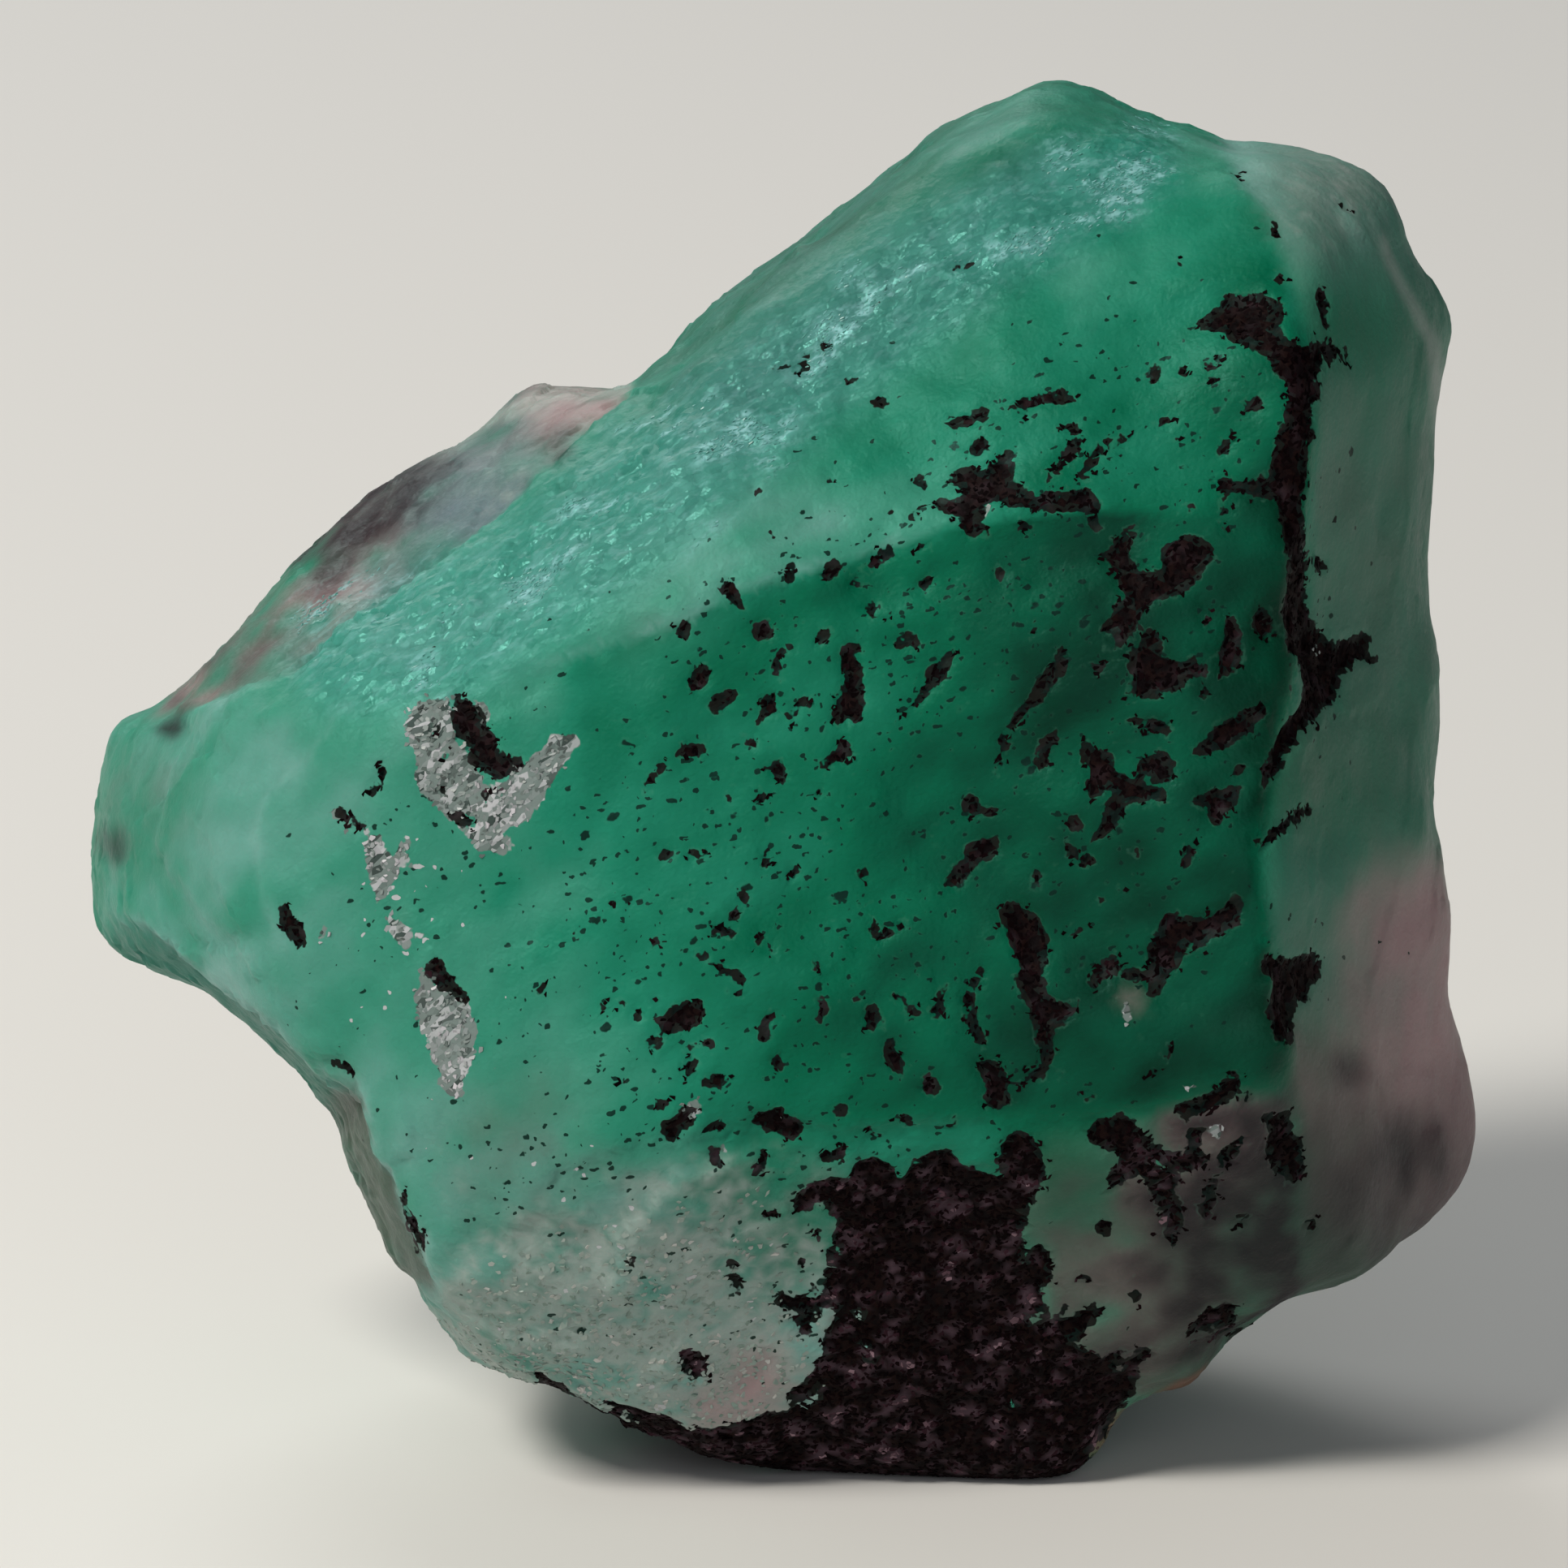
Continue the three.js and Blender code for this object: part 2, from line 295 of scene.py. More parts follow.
        [(922, 1102, 6), (912, 1118, 5), (902, 1131, 5)], [(880, 1145, 6), (898, 1145, 8)],
        [(938, 1160, 7), (947, 1176, 5)], [(865, 1177, 6)], [(890, 1197, 9)],
        [(908, 1200, 4), (915, 1212, 6), (916, 1226, 5)], [(755, 1112, 5)], [(772, 1112, 4)],
        [(812, 1160, 6)], [(772, 1187, 6)], [(707, 1147, 4)], [(662, 1215, 6)], [(742, 1237, 4)],
        [(760, 1232, 5)], [(807, 1230, 6)], [(787, 1247, 6)], [(812, 1280, 6), (802, 1291, 5)],
        [(846, 1287, 5)], [(868, 1281, 6), (878, 1288, 5)], [(850, 1309, 6), (845, 1320, 7)],
        [(770, 1335, 4)], [(810, 1356, 6)], [(683, 1346, 4)], [(962, 1310, 8)],
        [(1005, 1232, 4), (1012, 1248, 6), (1007, 1259, 4)], [(1005, 1187, 6)], [(1060, 1225, 6)],
        [(1107, 1227, 5)], [(1160, 1221, 5)],
        [(1072, 1140, 4), (1083, 1155, 6), (1101, 1148, 5), (1121, 1140, 5)], [(1033, 1363, 9)],
        [(1396, 1055, 8)], [(1465, 1045, 8), (1458, 1062, 5)], [(1324, 1052, 7)], [(1352, 1108, 5)],
        [(1380, 1097, 4)], [(1325, 1145, 7)], [(1432, 1290, 6), (1425, 1318, 7)], [(1345, 1348, 7)],
        [(1310, 1325, 6)], [(1325, 1010, 6), (1328, 1022, 5)],
    ],
    "underMass": [
        [
            (1075, 1452, 26), (1088, 1500, 38), (1100, 1560, 46), (1120, 1620, 56), (1150, 1690, 74),
            (1190, 1740, 74), (1245, 1765, 42),
        ],
        [(1165, 1438, 20), (1180, 1500, 50), (1190, 1560, 60), (1200, 1620, 58)],
        [(1258, 1424, 27), (1272, 1450, 24), (1240, 1500, 33), (1225, 1560, 40), (1230, 1640, 38)],
        [(1330, 1690, 24), (1368, 1706, 26), (1345, 1750, 34), (1290, 1785, 26)],
        [
            (1110, 1730, 48), (1030, 1758, 36), (960, 1778, 36), (900, 1790, 38), (840, 1786, 32),
            (780, 1768, 26), (720, 1744, 18), (672, 1712, 12),
        ],
        [(960, 1800, 26), (1060, 1805, 34), (1180, 1800, 50), (1280, 1800, 40), (1330, 1790, 20)],
        [(1050, 1640, 26), (1040, 1690, 30), (1060, 1730, 34)],
        [(1024, 1540, 9), (1018, 1572, 12), (1014, 1606, 10)],
        [(1128, 1520, 50), (1140, 1600, 60), (1160, 1700, 70)], [(996, 1628, 6)], [(1006, 1512, 6)],
        [(984, 1560, 5)], [(1040, 1480, 16), (1052, 1540, 22), (1046, 1600, 16)],
        [(1310, 1640, 22), (1340, 1620, 16)], [(1290, 1560, 16), (1262, 1600, 22)],
        [(1290, 1680, 40), (1300, 1750, 46)], [(1252, 1650, 26), (1246, 1700, 26)],
        [(1140, 1470, 34), (1240, 1480, 34)], [(985, 1716, 12), (1010, 1700, 14)], [(1000, 1580, 7)],
        [(1018, 1530, 6)], [(975, 1625, 7), (990, 1650, 8)], [(1400, 1690, 14), (1420, 1668, 8)],
        [(1395, 1640, 6)], [(1330, 1575, 7)],
    ],
    "underBooks": [
        [(1358, 1400, 21), (1384, 1403, 24), (1398, 1430, 18), (1384, 1450, 14)],
        [(1462, 1370, 11), (1500, 1352, 14), (1520, 1336, 13)],
        [(1420, 1420, 10), (1446, 1432, 9), (1470, 1420, 10), (1478, 1396, 9)],
        [(1440, 1476, 9), (1452, 1494, 12)], [(1575, 1385, 16), (1584, 1416, 25), (1596, 1440, 18)],
        [(1532, 1503, 11)], [(1622, 1511, 12)], [(1306, 1604, 9)],
        [(1425, 1450, 16), (1450, 1500, 12), (1446, 1540, 7)], [(1500, 1460, 9), (1490, 1500, 7)],
        [(1540, 1350, 8)], [(1480, 1641, 13), (1508, 1632, 16)], [(1395, 1588, 8)],
        [(1505, 1430, 8), (1530, 1410, 7)], [(1360, 1510, 9)],
    ],
    "rightFace": [[(1625, 700, 8)], [(1640, 640, 5)]],
    "leftFace": [
        [
            (560, 866, 12), (574, 886, 18), (590, 905, 17), (600, 932, 17), (612, 946, 15),
            (640, 944, 11),
        ],
        [(566, 1004, 11), (578, 1012, 8)], [(536, 900, 6)], [(552, 930, 7)], [(546, 968, 6)],
        [(600, 985, 7)], [(625, 975, 6)],
        [(536, 1184, 7), (540, 1202, 12), (556, 1218, 9), (570, 1234, 6)],
        [(349, 1120, 8), (357, 1145, 12), (366, 1166, 8)], [(472, 955, 6), (462, 972, 6)],
        [(420, 1006, 9), (446, 1014, 7)], [(412, 1312, 5), (424, 1325, 8)],
        [(498, 1482, 8), (507, 1520, 10), (520, 1560, 8)],
    ],
}

# Bleached mica: silvery grey-white flakes, mostly at the left
paleMica = {
    "yShaped": [
        [
            (532, 875, 20), (534, 915, 34), (550, 955, 38), (585, 998, 32), (612, 1032, 20),
            (618, 1048, 9),
        ],
        [(615, 1000, 28), (655, 966, 26), (694, 921, 17)], [(590, 870, 8), (612, 900, 8)],
    ],
    "bright": [[(462, 1042, 14), (474, 1072, 20), (462, 1100, 13)], [(498, 1062, 6), (505, 1040, 5)]],
    "below": [[(478, 1128, 8), (494, 1152, 13)], [(410, 1004, 8), (448, 1016, 9)], [(392, 1152, 6)]],
    "leaf": [
        [
            (536, 1186, 10), (530, 1228, 24), (548, 1256, 34), (560, 1292, 28), (556, 1330, 20),
            (566, 1345, 9),
        ],
    ],
    "inDarkMica": [
        [(1215, 630, 9)], [(1386, 1236, 6), (1392, 1254, 7)], [(1392, 1188, 7)], [(850, 1368, 12)],
        [(968, 1370, 9)], [(1128, 1374, 9)], [(1015, 1466, 8)], [(1462, 1340, 6)], [(1500, 1395, 7)],
        [(890, 1418, 6)], [(1620, 800, 8)],
    ],
}

# Translucent edges where the light from behind comes through, painted into the colour as a glow
glowingEdges = {
    "warm": [
        [
            (1487, 1688, 6), (1440, 1716, 7), (1398, 1738, 7), (1361, 1774, 7), (1330, 1804, 6),
            (1261, 1812, 4),
        ],
    ],
    "pale": [
        [(600, 1673, 5), (658, 1717, 6), (721, 1738, 6), (820, 1768, 6)],
        [(1700, 300, 5), (1765, 420, 6), (1775, 560, 6)],
        [(430, 650, 5), (520, 580, 6), (600, 520, 6), (680, 486, 8), (770, 478, 7)],
    ],
}


def insideMarks(seen, marks):  # millimetres inside the nearest mark of a set, below 0 outside them
    best = np.full(len(seen), 1e6)
    for chains in marks.values():
        for chain in chains:
            for a, b in zip(chain, chain[1:] or chain):
                start, way = np.array(a[:2], float), np.array(b[:2], float) - a[:2]
                along = np.clip((seen - start) @ way / max(way @ way, 1e-9), 0, 1)
                gap = np.linalg.norm(seen - start - along[:, None] * way, axis=1)
                best = np.minimum(best, gap - (a[2] + (b[2] - a[2]) * along))
    return np.clip(-best / pixelsPerMm, -1, 1)


# Zones of the stone's colour: spots with a reach in pixels and a value, blended into one another.
# tone is 0 in the deepest green and 1 in the palest milky green.
zones = {
    "toneUnderLedge": [
        (1300, 1000, 160, 0.08), (1250, 1230, 150, 0.05), (1430, 1240, 120, 0.0),
        (1150, 1330, 110, 0.14), (1500, 720, 110, 0.05), (1400, 850, 120, 0.03), (1060, 1150, 150, 0.2),
        (1120, 860, 130, 0.27), (760, 850, 50, 0.4), (880, 800, 50, 0.34), (640, 880, 40, 0.56),
        (930, 950, 130, 0.42), (860, 1150, 120, 0.42), (720, 1050, 110, 0.52), (640, 1220, 120, 0.66),
        (450, 1150, 130, 0.66), (300, 1000, 100, 0.84), (540, 1000, 100, 0.66), (400, 900, 90, 0.74),
        (180, 1000, 80, 0.66), (150, 1130, 60, 0.66), (290, 1220, 50, 0.95), (640, 1390, 80, 0.86),
        (800, 1320, 90, 0.55), (540, 1400, 90, 0.78), (1000, 1340, 90, 0.25), (1560, 1000, 80, 0.02),
        (1540, 1240, 60, 0.1),
    ],
    "toneOverLedge": [
        (600, 780, 90, 0.7), (800, 715, 70, 0.82), (950, 655, 60, 0.72), (1100, 600, 60, 0.6),
        (1300, 460, 90, 0.4), (1120, 470, 90, 0.5), (1240, 400, 80, 0.42), (1250, 300, 90, 0.48),
        (1400, 330, 80, 0.52), (1500, 230, 60, 0.56), (1450, 560, 80, 0.28), (1555, 290, 45, 0.12),
        (1300, 180, 80, 0.44), (1250, 120, 60, 0.42), (1080, 260, 80, 0.28), (900, 430, 80, 0.34),
        (700, 600, 80, 0.54), (500, 770, 80, 0.72), (300, 900, 90, 0.78), (1560, 520, 50, 0.12),
        (1330, 560, 60, 0.4), (1360, 390, 30, 0.72), (1480, 200, 26, 0.76), (170, 950, 60, 0.72),
    ],
    "grey": [(170, 1000, 50, 0.5), (640, 1410, 60, 0.6), (800, 730, 70, 0.3), (1600, 230, 40, 0.5)],
    "warm": [
        (500, 1132, 14, 0.3), (1310, 1320, 40, 0.2), (1392, 1236, 14, 0.5), (1500, 1290, 40, 0.2),
        (420, 1320, 20, 0.4),
    ],
    "quartz": [(560, 1420, 50, 0.3)],
    "blue": [
        (1000, 330, 90, 0.45), (1100, 260, 90, 0.45), (1160, 190, 70, 0.4), (900, 400, 80, 0.4),
        (1250, 140, 60, 0.3), (800, 520, 70, 0.3), (700, 600, 60, 0.2), (1300, 400, 200, 0.0),
    ],
    # Dark purplish brown: partly the stone's own dark tint, partly painted shade where the surface turns
    # away from the light
    "smokyAndShade": [
        (1540, 900, 60, 0.3), (1500, 1290, 60, 0.35), (1560, 1290, 50, 0.4), (206, 886, 14, 0.9),
        (140, 1040, 16, 0.7), (690, 566, 16, 0.8),
    ],
    "specks": [
        (900, 1210, 130, 1.0), (820, 1100, 110, 0.9), (980, 1090, 120, 0.9), (1050, 960, 120, 0.85),
        (1180, 850, 120, 0.85), (1280, 740, 100, 0.8), (1400, 550, 80, 0.9), (1260, 960, 110, 0.8),
        (760, 1290, 90, 0.85), (700, 1380, 80, 0.7), (1100, 1250, 110, 0.65), (950, 870, 80, 0.6),
        (1300, 640, 60, 0.7), (640, 1150, 60, 0.35), (1180, 1120, 90, 0.6), (1420, 1100, 90, 0.5),
        (800, 1480, 80, 0.3), (1020, 1520, 60, 0.9), (960, 1640, 40, 0.9), (1400, 1000, 80, 0.5),
        (1500, 720, 80, 0.45), (560, 1350, 50, 0.3), (1440, 470, 50, 0.6), (510, 1080, 50, 0.7),
        (540, 1170, 50, 0.5), (460, 1210, 50, 0.3), (760, 1590, 70, 0.5), (620, 1350, 60, 0.4),
        (640, 1030, 40, 0.15), (700, 940, 40, 0.2),
    ],
}
regions = {
    "under": {
        "tone": [
            (640, 1450, 70, 0.86), (560, 1520, 90, 0.9), (750, 1580, 100, 0.95), (960, 1480, 70, 0.66),
            (880, 1640, 90, 0.95), (1000, 1430, 60, 0.4), (1380, 1590, 90, 0.6), (1330, 1480, 44, 0.2),
            (1470, 1450, 60, 0.4), (1620, 1500, 80, 0.45),
        ],
        "grey": [
            (1600, 1480, 110, 0.8), (1380, 1600, 90, 0.85), (700, 1560, 110, 0.62),
            (900, 1500, 80, 0.62), (560, 1480, 60, 0.5), (1340, 1480, 40, 0.5), (1330, 1560, 50, 0.95),
            (1500, 1540, 90, 1.0), (1440, 1640, 60, 1.0),
        ],
        "warm": [
            (930, 1700, 40, 0.62), (1010, 1670, 26, 0.5), (860, 1735, 26, 0.66), (1500, 1400, 50, 0.95),
            (1440, 1470, 40, 0.6), (1010, 1640, 40, 0.3), (1560, 1560, 60, 0.35),
            (1370, 1620, 50, 0.65), (1330, 1560, 40, 0.35), (1440, 1590, 50, 0.5),
            (1310, 1700, 50, 0.4), (800, 1420, 60, 0.0), (740, 1640, 80, 0.0), (600, 1560, 60, 0.0),
            (900, 1540, 60, 0.0),
        ],
        "quartz": [
            (760, 1640, 80, 1.0), (900, 1690, 70, 1.0), (630, 1640, 60, 0.8), (680, 1520, 60, 0.62),
            (1000, 1560, 60, 0.5), (860, 1560, 60, 0.66), (900, 1460, 50, 0.62), (760, 1440, 50, 0.4),
            (620, 1470, 60, 0.6), (590, 1560, 50, 0.68), (1380, 1600, 70, 0.3),
        ],
        # Painted shade at the lower right, where the under side turns away from the light, with some of
        # the stone's own dark tint
        "smokyAndShade": [
            (1600, 1580, 90, 1.0), (1640, 1480, 60, 0.9), (1480, 1450, 50, 0.85),
            (1480, 1540, 50, 0.85), (1480, 1610, 60, 0.66), (1370, 1590, 40, 0.46),
            (1360, 1650, 34, 0.82), (1540, 1420, 60, 0.76), (1290, 1640, 60, 0.6),
            (1340, 1490, 34, 0.55), (1500, 1395, 40, 0.86), (1600, 1320, 40, 0.6), (640, 1450, 90, 0.0),
            (800, 1500, 90, 0.0), (960, 1450, 70, 0.0),
        ],
    },
    "right": {
        "tone": [
            (1690, 300, 80, 0.62), (1665, 400, 36, 0.14), (1700, 450, 70, 0.5), (1720, 620, 80, 0.6),
            (1700, 780, 80, 0.62), (1700, 950, 80, 0.5), (1620, 960, 40, 0.3), (1680, 1130, 60, 0.6),
            (1760, 1200, 60, 0.9), (1760, 1400, 70, 0.3), (1640, 1480, 90, 0.25), (1640, 240, 60, 1.05),
            (1700, 290, 50, 0.9),
        ],
        "grey": [
            (1700, 420, 100, 0.62), (1700, 620, 100, 0.75), (1700, 820, 100, 0.72),
            (1690, 1000, 90, 0.6), (1640, 230, 60, 0.7), (1665, 400, 36, 0.2), (1760, 1350, 80, 0.9),
            (1660, 1470, 110, 1.1), (1780, 1440, 80, 1.1), (1640, 1180, 60, 0.7),
        ],
        "warm": [
            (1765, 1150, 62, 1.0), (1775, 1260, 60, 1.0), (1790, 1340, 50, 0.7), (1690, 1280, 60, 0.4),
            (1660, 220, 50, 0.3), (1600, 1330, 44, 0.6), (1640, 950, 40, 0.3), (1690, 860, 50, 0.1),
            (1780, 1430, 60, 1.0), (1680, 1440, 60, 0.6), (1720, 1320, 40, 1.0), (1800, 1350, 40, 1.0),
        ],
        "quartz": [
            (1640, 240, 50, 0.5), (1700, 500, 90, 0.0), (1700, 900, 90, 0.0), (1700, 1300, 90, 0.0),
        ],
        # Painted shade low on the right side, with some of the stone's own dark tint
        "smokyAndShade": [
            (1735, 1410, 30, 1.1), (1640, 1500, 70, 0.82), (1690, 1350, 34, 0.6), (1600, 1440, 50, 0.7),
            (1640, 1180, 40, 0.3), (1790, 1450, 50, 0.74), (1710, 1500, 60, 0.82),
            (1790, 1340, 34, 0.56), (1720, 1310, 26, 0.2), (1600, 1300, 34, 0.6), (1664, 1312, 16, 1.1),
            (1700, 1060, 120, 0.0), (1760, 1180, 70, 0.0), (1700, 700, 200, 0.0),
        ],
    },
    "lobe": {
        "tone": [
            (580, 560, 60, 0.5), (450, 750, 60, 0.42), (300, 840, 70, 0.66), (700, 505, 50, 0.84),
            (200, 880, 50, 0.7),
        ],
        "grey": [
            (700, 500, 50, 1.0), (570, 590, 60, 1.0), (480, 680, 50, 0.9), (300, 835, 60, 0.95),
            (440, 765, 40, 0.65),
        ],
        "warm": [
            (400, 742, 30, 0.7), (330, 790, 30, 0.6), (250, 876, 30, 0.8), (720, 500, 50, 0.66),
            (460, 650, 40, 0.6), (540, 640, 40, 0.1), (350, 850, 40, 0.2), (590, 560, 30, 0.3),
            (560, 700, 40, 0.3), (380, 810, 30, 0.3),
        ],
        "blue": [
            (600, 600, 40, 1.0), (540, 640, 40, 1.0), (640, 530, 30, 0.6), (480, 700, 40, 0.5),
            (720, 500, 40, 0.2), (300, 850, 60, 0.2),
        ],
        "quartz": [(620, 590, 34, 0.4), (710, 500, 36, 0.5), (450, 780, 80, 0.0), (560, 560, 40, 0.2)],
        # Painted shade near the lobe's outline, with dark patches of the stone's own
        "smokyAndShade": [
            (505, 605, 26, 1.0), (450, 650, 28, 1.0), (400, 700, 26, 0.95), (545, 575, 26, 0.8),
            (500, 690, 34, 0.1), (600, 610, 40, 0.0), (670, 560, 20, 0.6), (440, 790, 50, 0.0),
            (700, 500, 40, 0.25), (400, 742, 20, 0.5), (335, 785, 26, 0.62), (280, 830, 26, 0.5),
            (610, 540, 20, 0.3), (702, 546, 15, 1.1), (228, 876, 14, 0.8),
        ],
    },
}
# Where painted glints make the bleached flakes brightest
brightFlakes = [(470, 1072, 34, 1.0), (660, 985, 30, 0.6), (625, 1035, 22, 0.8), (560, 1320, 26, 0.6)]
# Where the specks are silvery, and not dark
paleSpots = [
    (512, 1060, 45, 0.9), (540, 1160, 40, 0.9), (470, 1230, 36, 0.6), (430, 1080, 34, 0.5),
    (700, 1600, 90, 0.7), (820, 1560, 60, 0.5), (520, 1330, 40, 0.4), (660, 1100, 60, 0.0),
    (1000, 1000, 250, 0.0),
]
ledgeLine = [
    (560, 850), (640, 828), (760, 794), (850, 766), (900, 732), (1040, 694), (1170, 652), (1350, 630),
    (1560, 640),
]
frostLine = [
    (430, 800, 70), (560, 770, 80), (700, 690, 70), (850, 570, 66), (1000, 440, 66), (1130, 350, 62),
    (1260, 270, 60), (1400, 200, 44),
]
# Ridges between the broad face and its neighbours, and the edge of the lobe behind it at the left
rightRidge = [
    (190, 1500), (270, 1560), (420, 1606), (560, 1612), (800, 1600), (960, 1562), (1060, 1548),
    (1200, 1566), (1400, 1600),
]
underRidge = [
    (500, 1580), (600, 1500), (700, 1440), (800, 1400), (950, 1385), (1300, 1372), (1450, 1362),
    (1590, 1330), (1800, 1300),
]
lobeEdge = [
    (150, 905), (250, 872), (360, 830), (480, 745), (600, 650), (700, 560), (790, 477), (800, 0),
]

# Crisp edges of breaks. Going along each line, the ground to its right stands higher by rise mm, and
# a painted highlight pales the edge itself. A darker colour is laid on that same side close to the edge.
breakEdges = {
    "leftFacet": {
        "line": [(452, 840), (413, 885), (314, 1002), (320, 1092), (352, 1190)],
        "rise": -0.14, "fade": 160, "pale": 0.08,
    },
    "leftEnd": {
        "line": [(262, 880), (205, 945), (188, 1030), (240, 1130), (330, 1215)],
        "rise": -0.12, "fade": 90, "pale": 0.06,
    },
    "lowerLeft": {
        "line": [(120, 1122), (170, 1142), (230, 1196), (330, 1264), (400, 1333), (450, 1400)],
        "rise": -0.3, "fade": 90, "pale": 0.2, "nearColour": "#2a6053", "nearShare": 0.75,
    },
    "heel": {
        "line": [(425, 1320), (440, 1360), (470, 1430), (505, 1520), (545, 1600)],
        "rise": -0.22, "fade": 80, "pale": 0.2, "nearColour": "#4c4640", "nearShare": 0.8,
    },
    "lobe": {
        "line": [(220, 885), (330, 848), (480, 745), (600, 648), (700, 560), (790, 477)],
        "rise": 0.28, "fade": 90, "pale": 0.0,
    },
    "under": {
        "line": [
            (640, 1480), (720, 1430), (800, 1405), (950, 1392), (1100, 1386), (1300, 1376),
            (1480, 1362),
        ],
        "rise": -0.14, "fade": 150, "pale": 0.06,
    },
    "quartzBlock": {
        "line": [(745, 1620), (762, 1530), (830, 1450), (900, 1424), (980, 1420)],
        "rise": 0.16, "fade": 130, "pale": 0.08,
    },
    "rightRidge": {
        "line": [
            (1500, 190), (1560, 270), (1604, 420), (1610, 560), (1600, 800), (1562, 960), (1548, 1060),
            (1566, 1200), (1596, 1330),
        ],
        "rise": 0.14, "fade": 70, "pale": 0.05,
    },
    "ledge": {
        "line": [(640, 828), (760, 794), (850, 766), (900, 732), (1040, 694), (1170, 652)],
        "rise": 0.0, "fade": 60, "pale": 0.13,
    },
    "tealStep": {
        "line": [(560, 905), (640, 872), (700, 822), (780, 790)],
        "rise": 0.1, "fade": 90, "pale": 0.04,
    },
    "upperStep": {
        "line": [(1560, 330), (1480, 372), (1380, 384), (1300, 440), (1210, 470)],
        "rise": 0.08, "fade": 110, "pale": 0.07,
    },
    "crown": {
        "line": [(1690, 330), (1650, 262), (1590, 222), (1510, 196)],
        "rise": 0.16, "fade": 80, "pale": 0.1,
    },
}


def besideLine(seen, line):  # pixels to the right of a line, and pixels from the nearer of its ends
    gaps, sides, alongs, before = np.full(len(seen), 1e6), np.ones(len(seen)), np.zeros(len(seen)), 0.0
    for a, b in zip(line, line[1:]):
        start, way = np.array(a, float), np.array(b, float) - a
        length = np.linalg.norm(way)
        t = np.clip((seen - start) @ way / length**2, 0, 1)
        off = seen - start
        gap = np.linalg.norm(off - t[:, None] * way, axis=1)
        near = gap < gaps
        turn = way[0] * off[:, 1] - way[1] * off[:, 0]
        gaps, sides = np.where(near, gap, gaps), np.where(near, np.sign(turn), sides)
        alongs = np.where(near, before + t * length, alongs)
        before += length
    return gaps * sides, np.minimum(alongs, before - alongs)


def blendSpots(seen, spots, floor=0.0):  # the near spots' average, which a floor draws to 0 far off
    total, weight = np.zeros(len(seen)), np.full(len(seen), floor + 1e-6)
    for x, y, reach, value in spots:
        pull = np.exp(-((seen[:, 0] - x) ** 2 + (seen[:, 1] - y) ** 2) / (2 * reach * reach))
        total, weight = total + pull * value, weight + pull
    return total / weight


def aboveLine(seen, line):
    xs, ys = zip(*line)
    return np.interp(seen[:, 0], xs, ys) - seen[:, 1]


def beyondLine(seen, line):
    ys, xs = zip(*line)
    return seen[:, 0] - np.interp(seen[:, 1], ys, xs)


def fieldNoise(places, size, seed=0.0):  # smooth noise of about -1 to 1, its lumps size mm apart
    shift = Vector((seed * 13.7, seed * 7.1, seed * 3.3))
    return np.array([noise.noise(Vector(p) / size + shift) for p in places])


def facetNoise(places, size, seed=0.0):  # flat facets about size mm across, each tipped its own way
    shift = Vector((seed * 5.3, seed * 11.9, seed * 2.7))
    heights = np.zeros(len(places))
    for i, p in enumerate(places):
        at = Vector(p) / size + shift
        middle = noise.voronoi(at)[1][0]
        heights[i] = (at - middle).dot(noise.cell_vector(middle * 7.3) - Vector((0.5, 0.5, 0.5)))
    return heights


# The stone's visible surface: the solid's own shape, refined and given its finer relief
stone = {
    "frontFrom": -0.15,  # faces turned at least this much to the camera get the finest mesh
    # Height and size in mm of each kind of unevenness, the seed of its noise, and a gain where
    # the noise of the facets is too low for the height
    "roll": {"height": 0.09, "size": 2.0, "seed": 9},  # gentle rolls of the broken faces
    "blocks": {"height": 0.3, "size": 5.5, "seed": 5},  # broad breaks, most on the back
    "chipping": {"height": 0.16, "size": 2.6, "seed": 1, "gain": 1.6},  # flat little breaks
    "fineChipping": {"height": 0.085, "size": 0.9, "seed": 2, "gain": 1.6},
    "frost": {"height": 0.16, "size": 0.55, "seed": 3, "gain": 1.4},  # the hackly frosted band
    "micaRough": {"height": 0.16, "size": 0.7, "seed": 4, "gain": 1.4},  # torn flakes of mica
    "quartz": {"height": 0.07, "size": 0.5, "seed": 10},
    "ledge": 0.10,  # mm, sharp lip on the solid's ledge
    "micaSunk": 0.13,  # mm that mica has worn below the beryl
}


def refinedCopy(source):
    bm = bmesh.new()
    bm.from_mesh(source.data)
    bmesh.ops.remove_doubles(bm, verts=bm.verts, dist=1e-6)
    mesh = bpy.data.meshes.new("emerald_stone")
    bm.to_mesh(mesh)
    bm.free()
    obj = bpy.data.objects.new("emerald_stone", mesh)
    scene.collection.objects.link(obj)
    rounding = obj.modifiers.new("rounding", "SUBSURF")
    rounding.levels = rounding.render_levels = 1
    evaluated = obj.evaluated_get(bpy.context.evaluated_depsgraph_get())
    fine = bpy.data.meshes.new_from_object(evaluated)
    obj.modifiers.clear()
    obj.data = fine
    bm = bmesh.new()
    bm.from_mesh(fine)
    bm.normal_update()
    toward = Vector(-forward)
    front = [f for f in bm.faces if f.normal.dot(toward) > stone["frontFrom"]]
    edges = list({e for f in front for e in f.edges})
    bmesh.ops.subdivide_edges(bm, edges=edges, cuts=1, use_grid_fill=True, smooth=0.6)
    bm.to_mesh(fine)
    bm.free()
    fine.name = "emerald_stone"
    return obj


stoneObject = refinedCopy(cadStone)
mesh = stoneObject.data
places, normals = vertexPlaces(mesh), vertexNormals(mesh)
seen = inPicture(places)
mm = places * 1000
facing = normals @ -forward
print("stone refined,", triangleCount(mesh), "triangles")

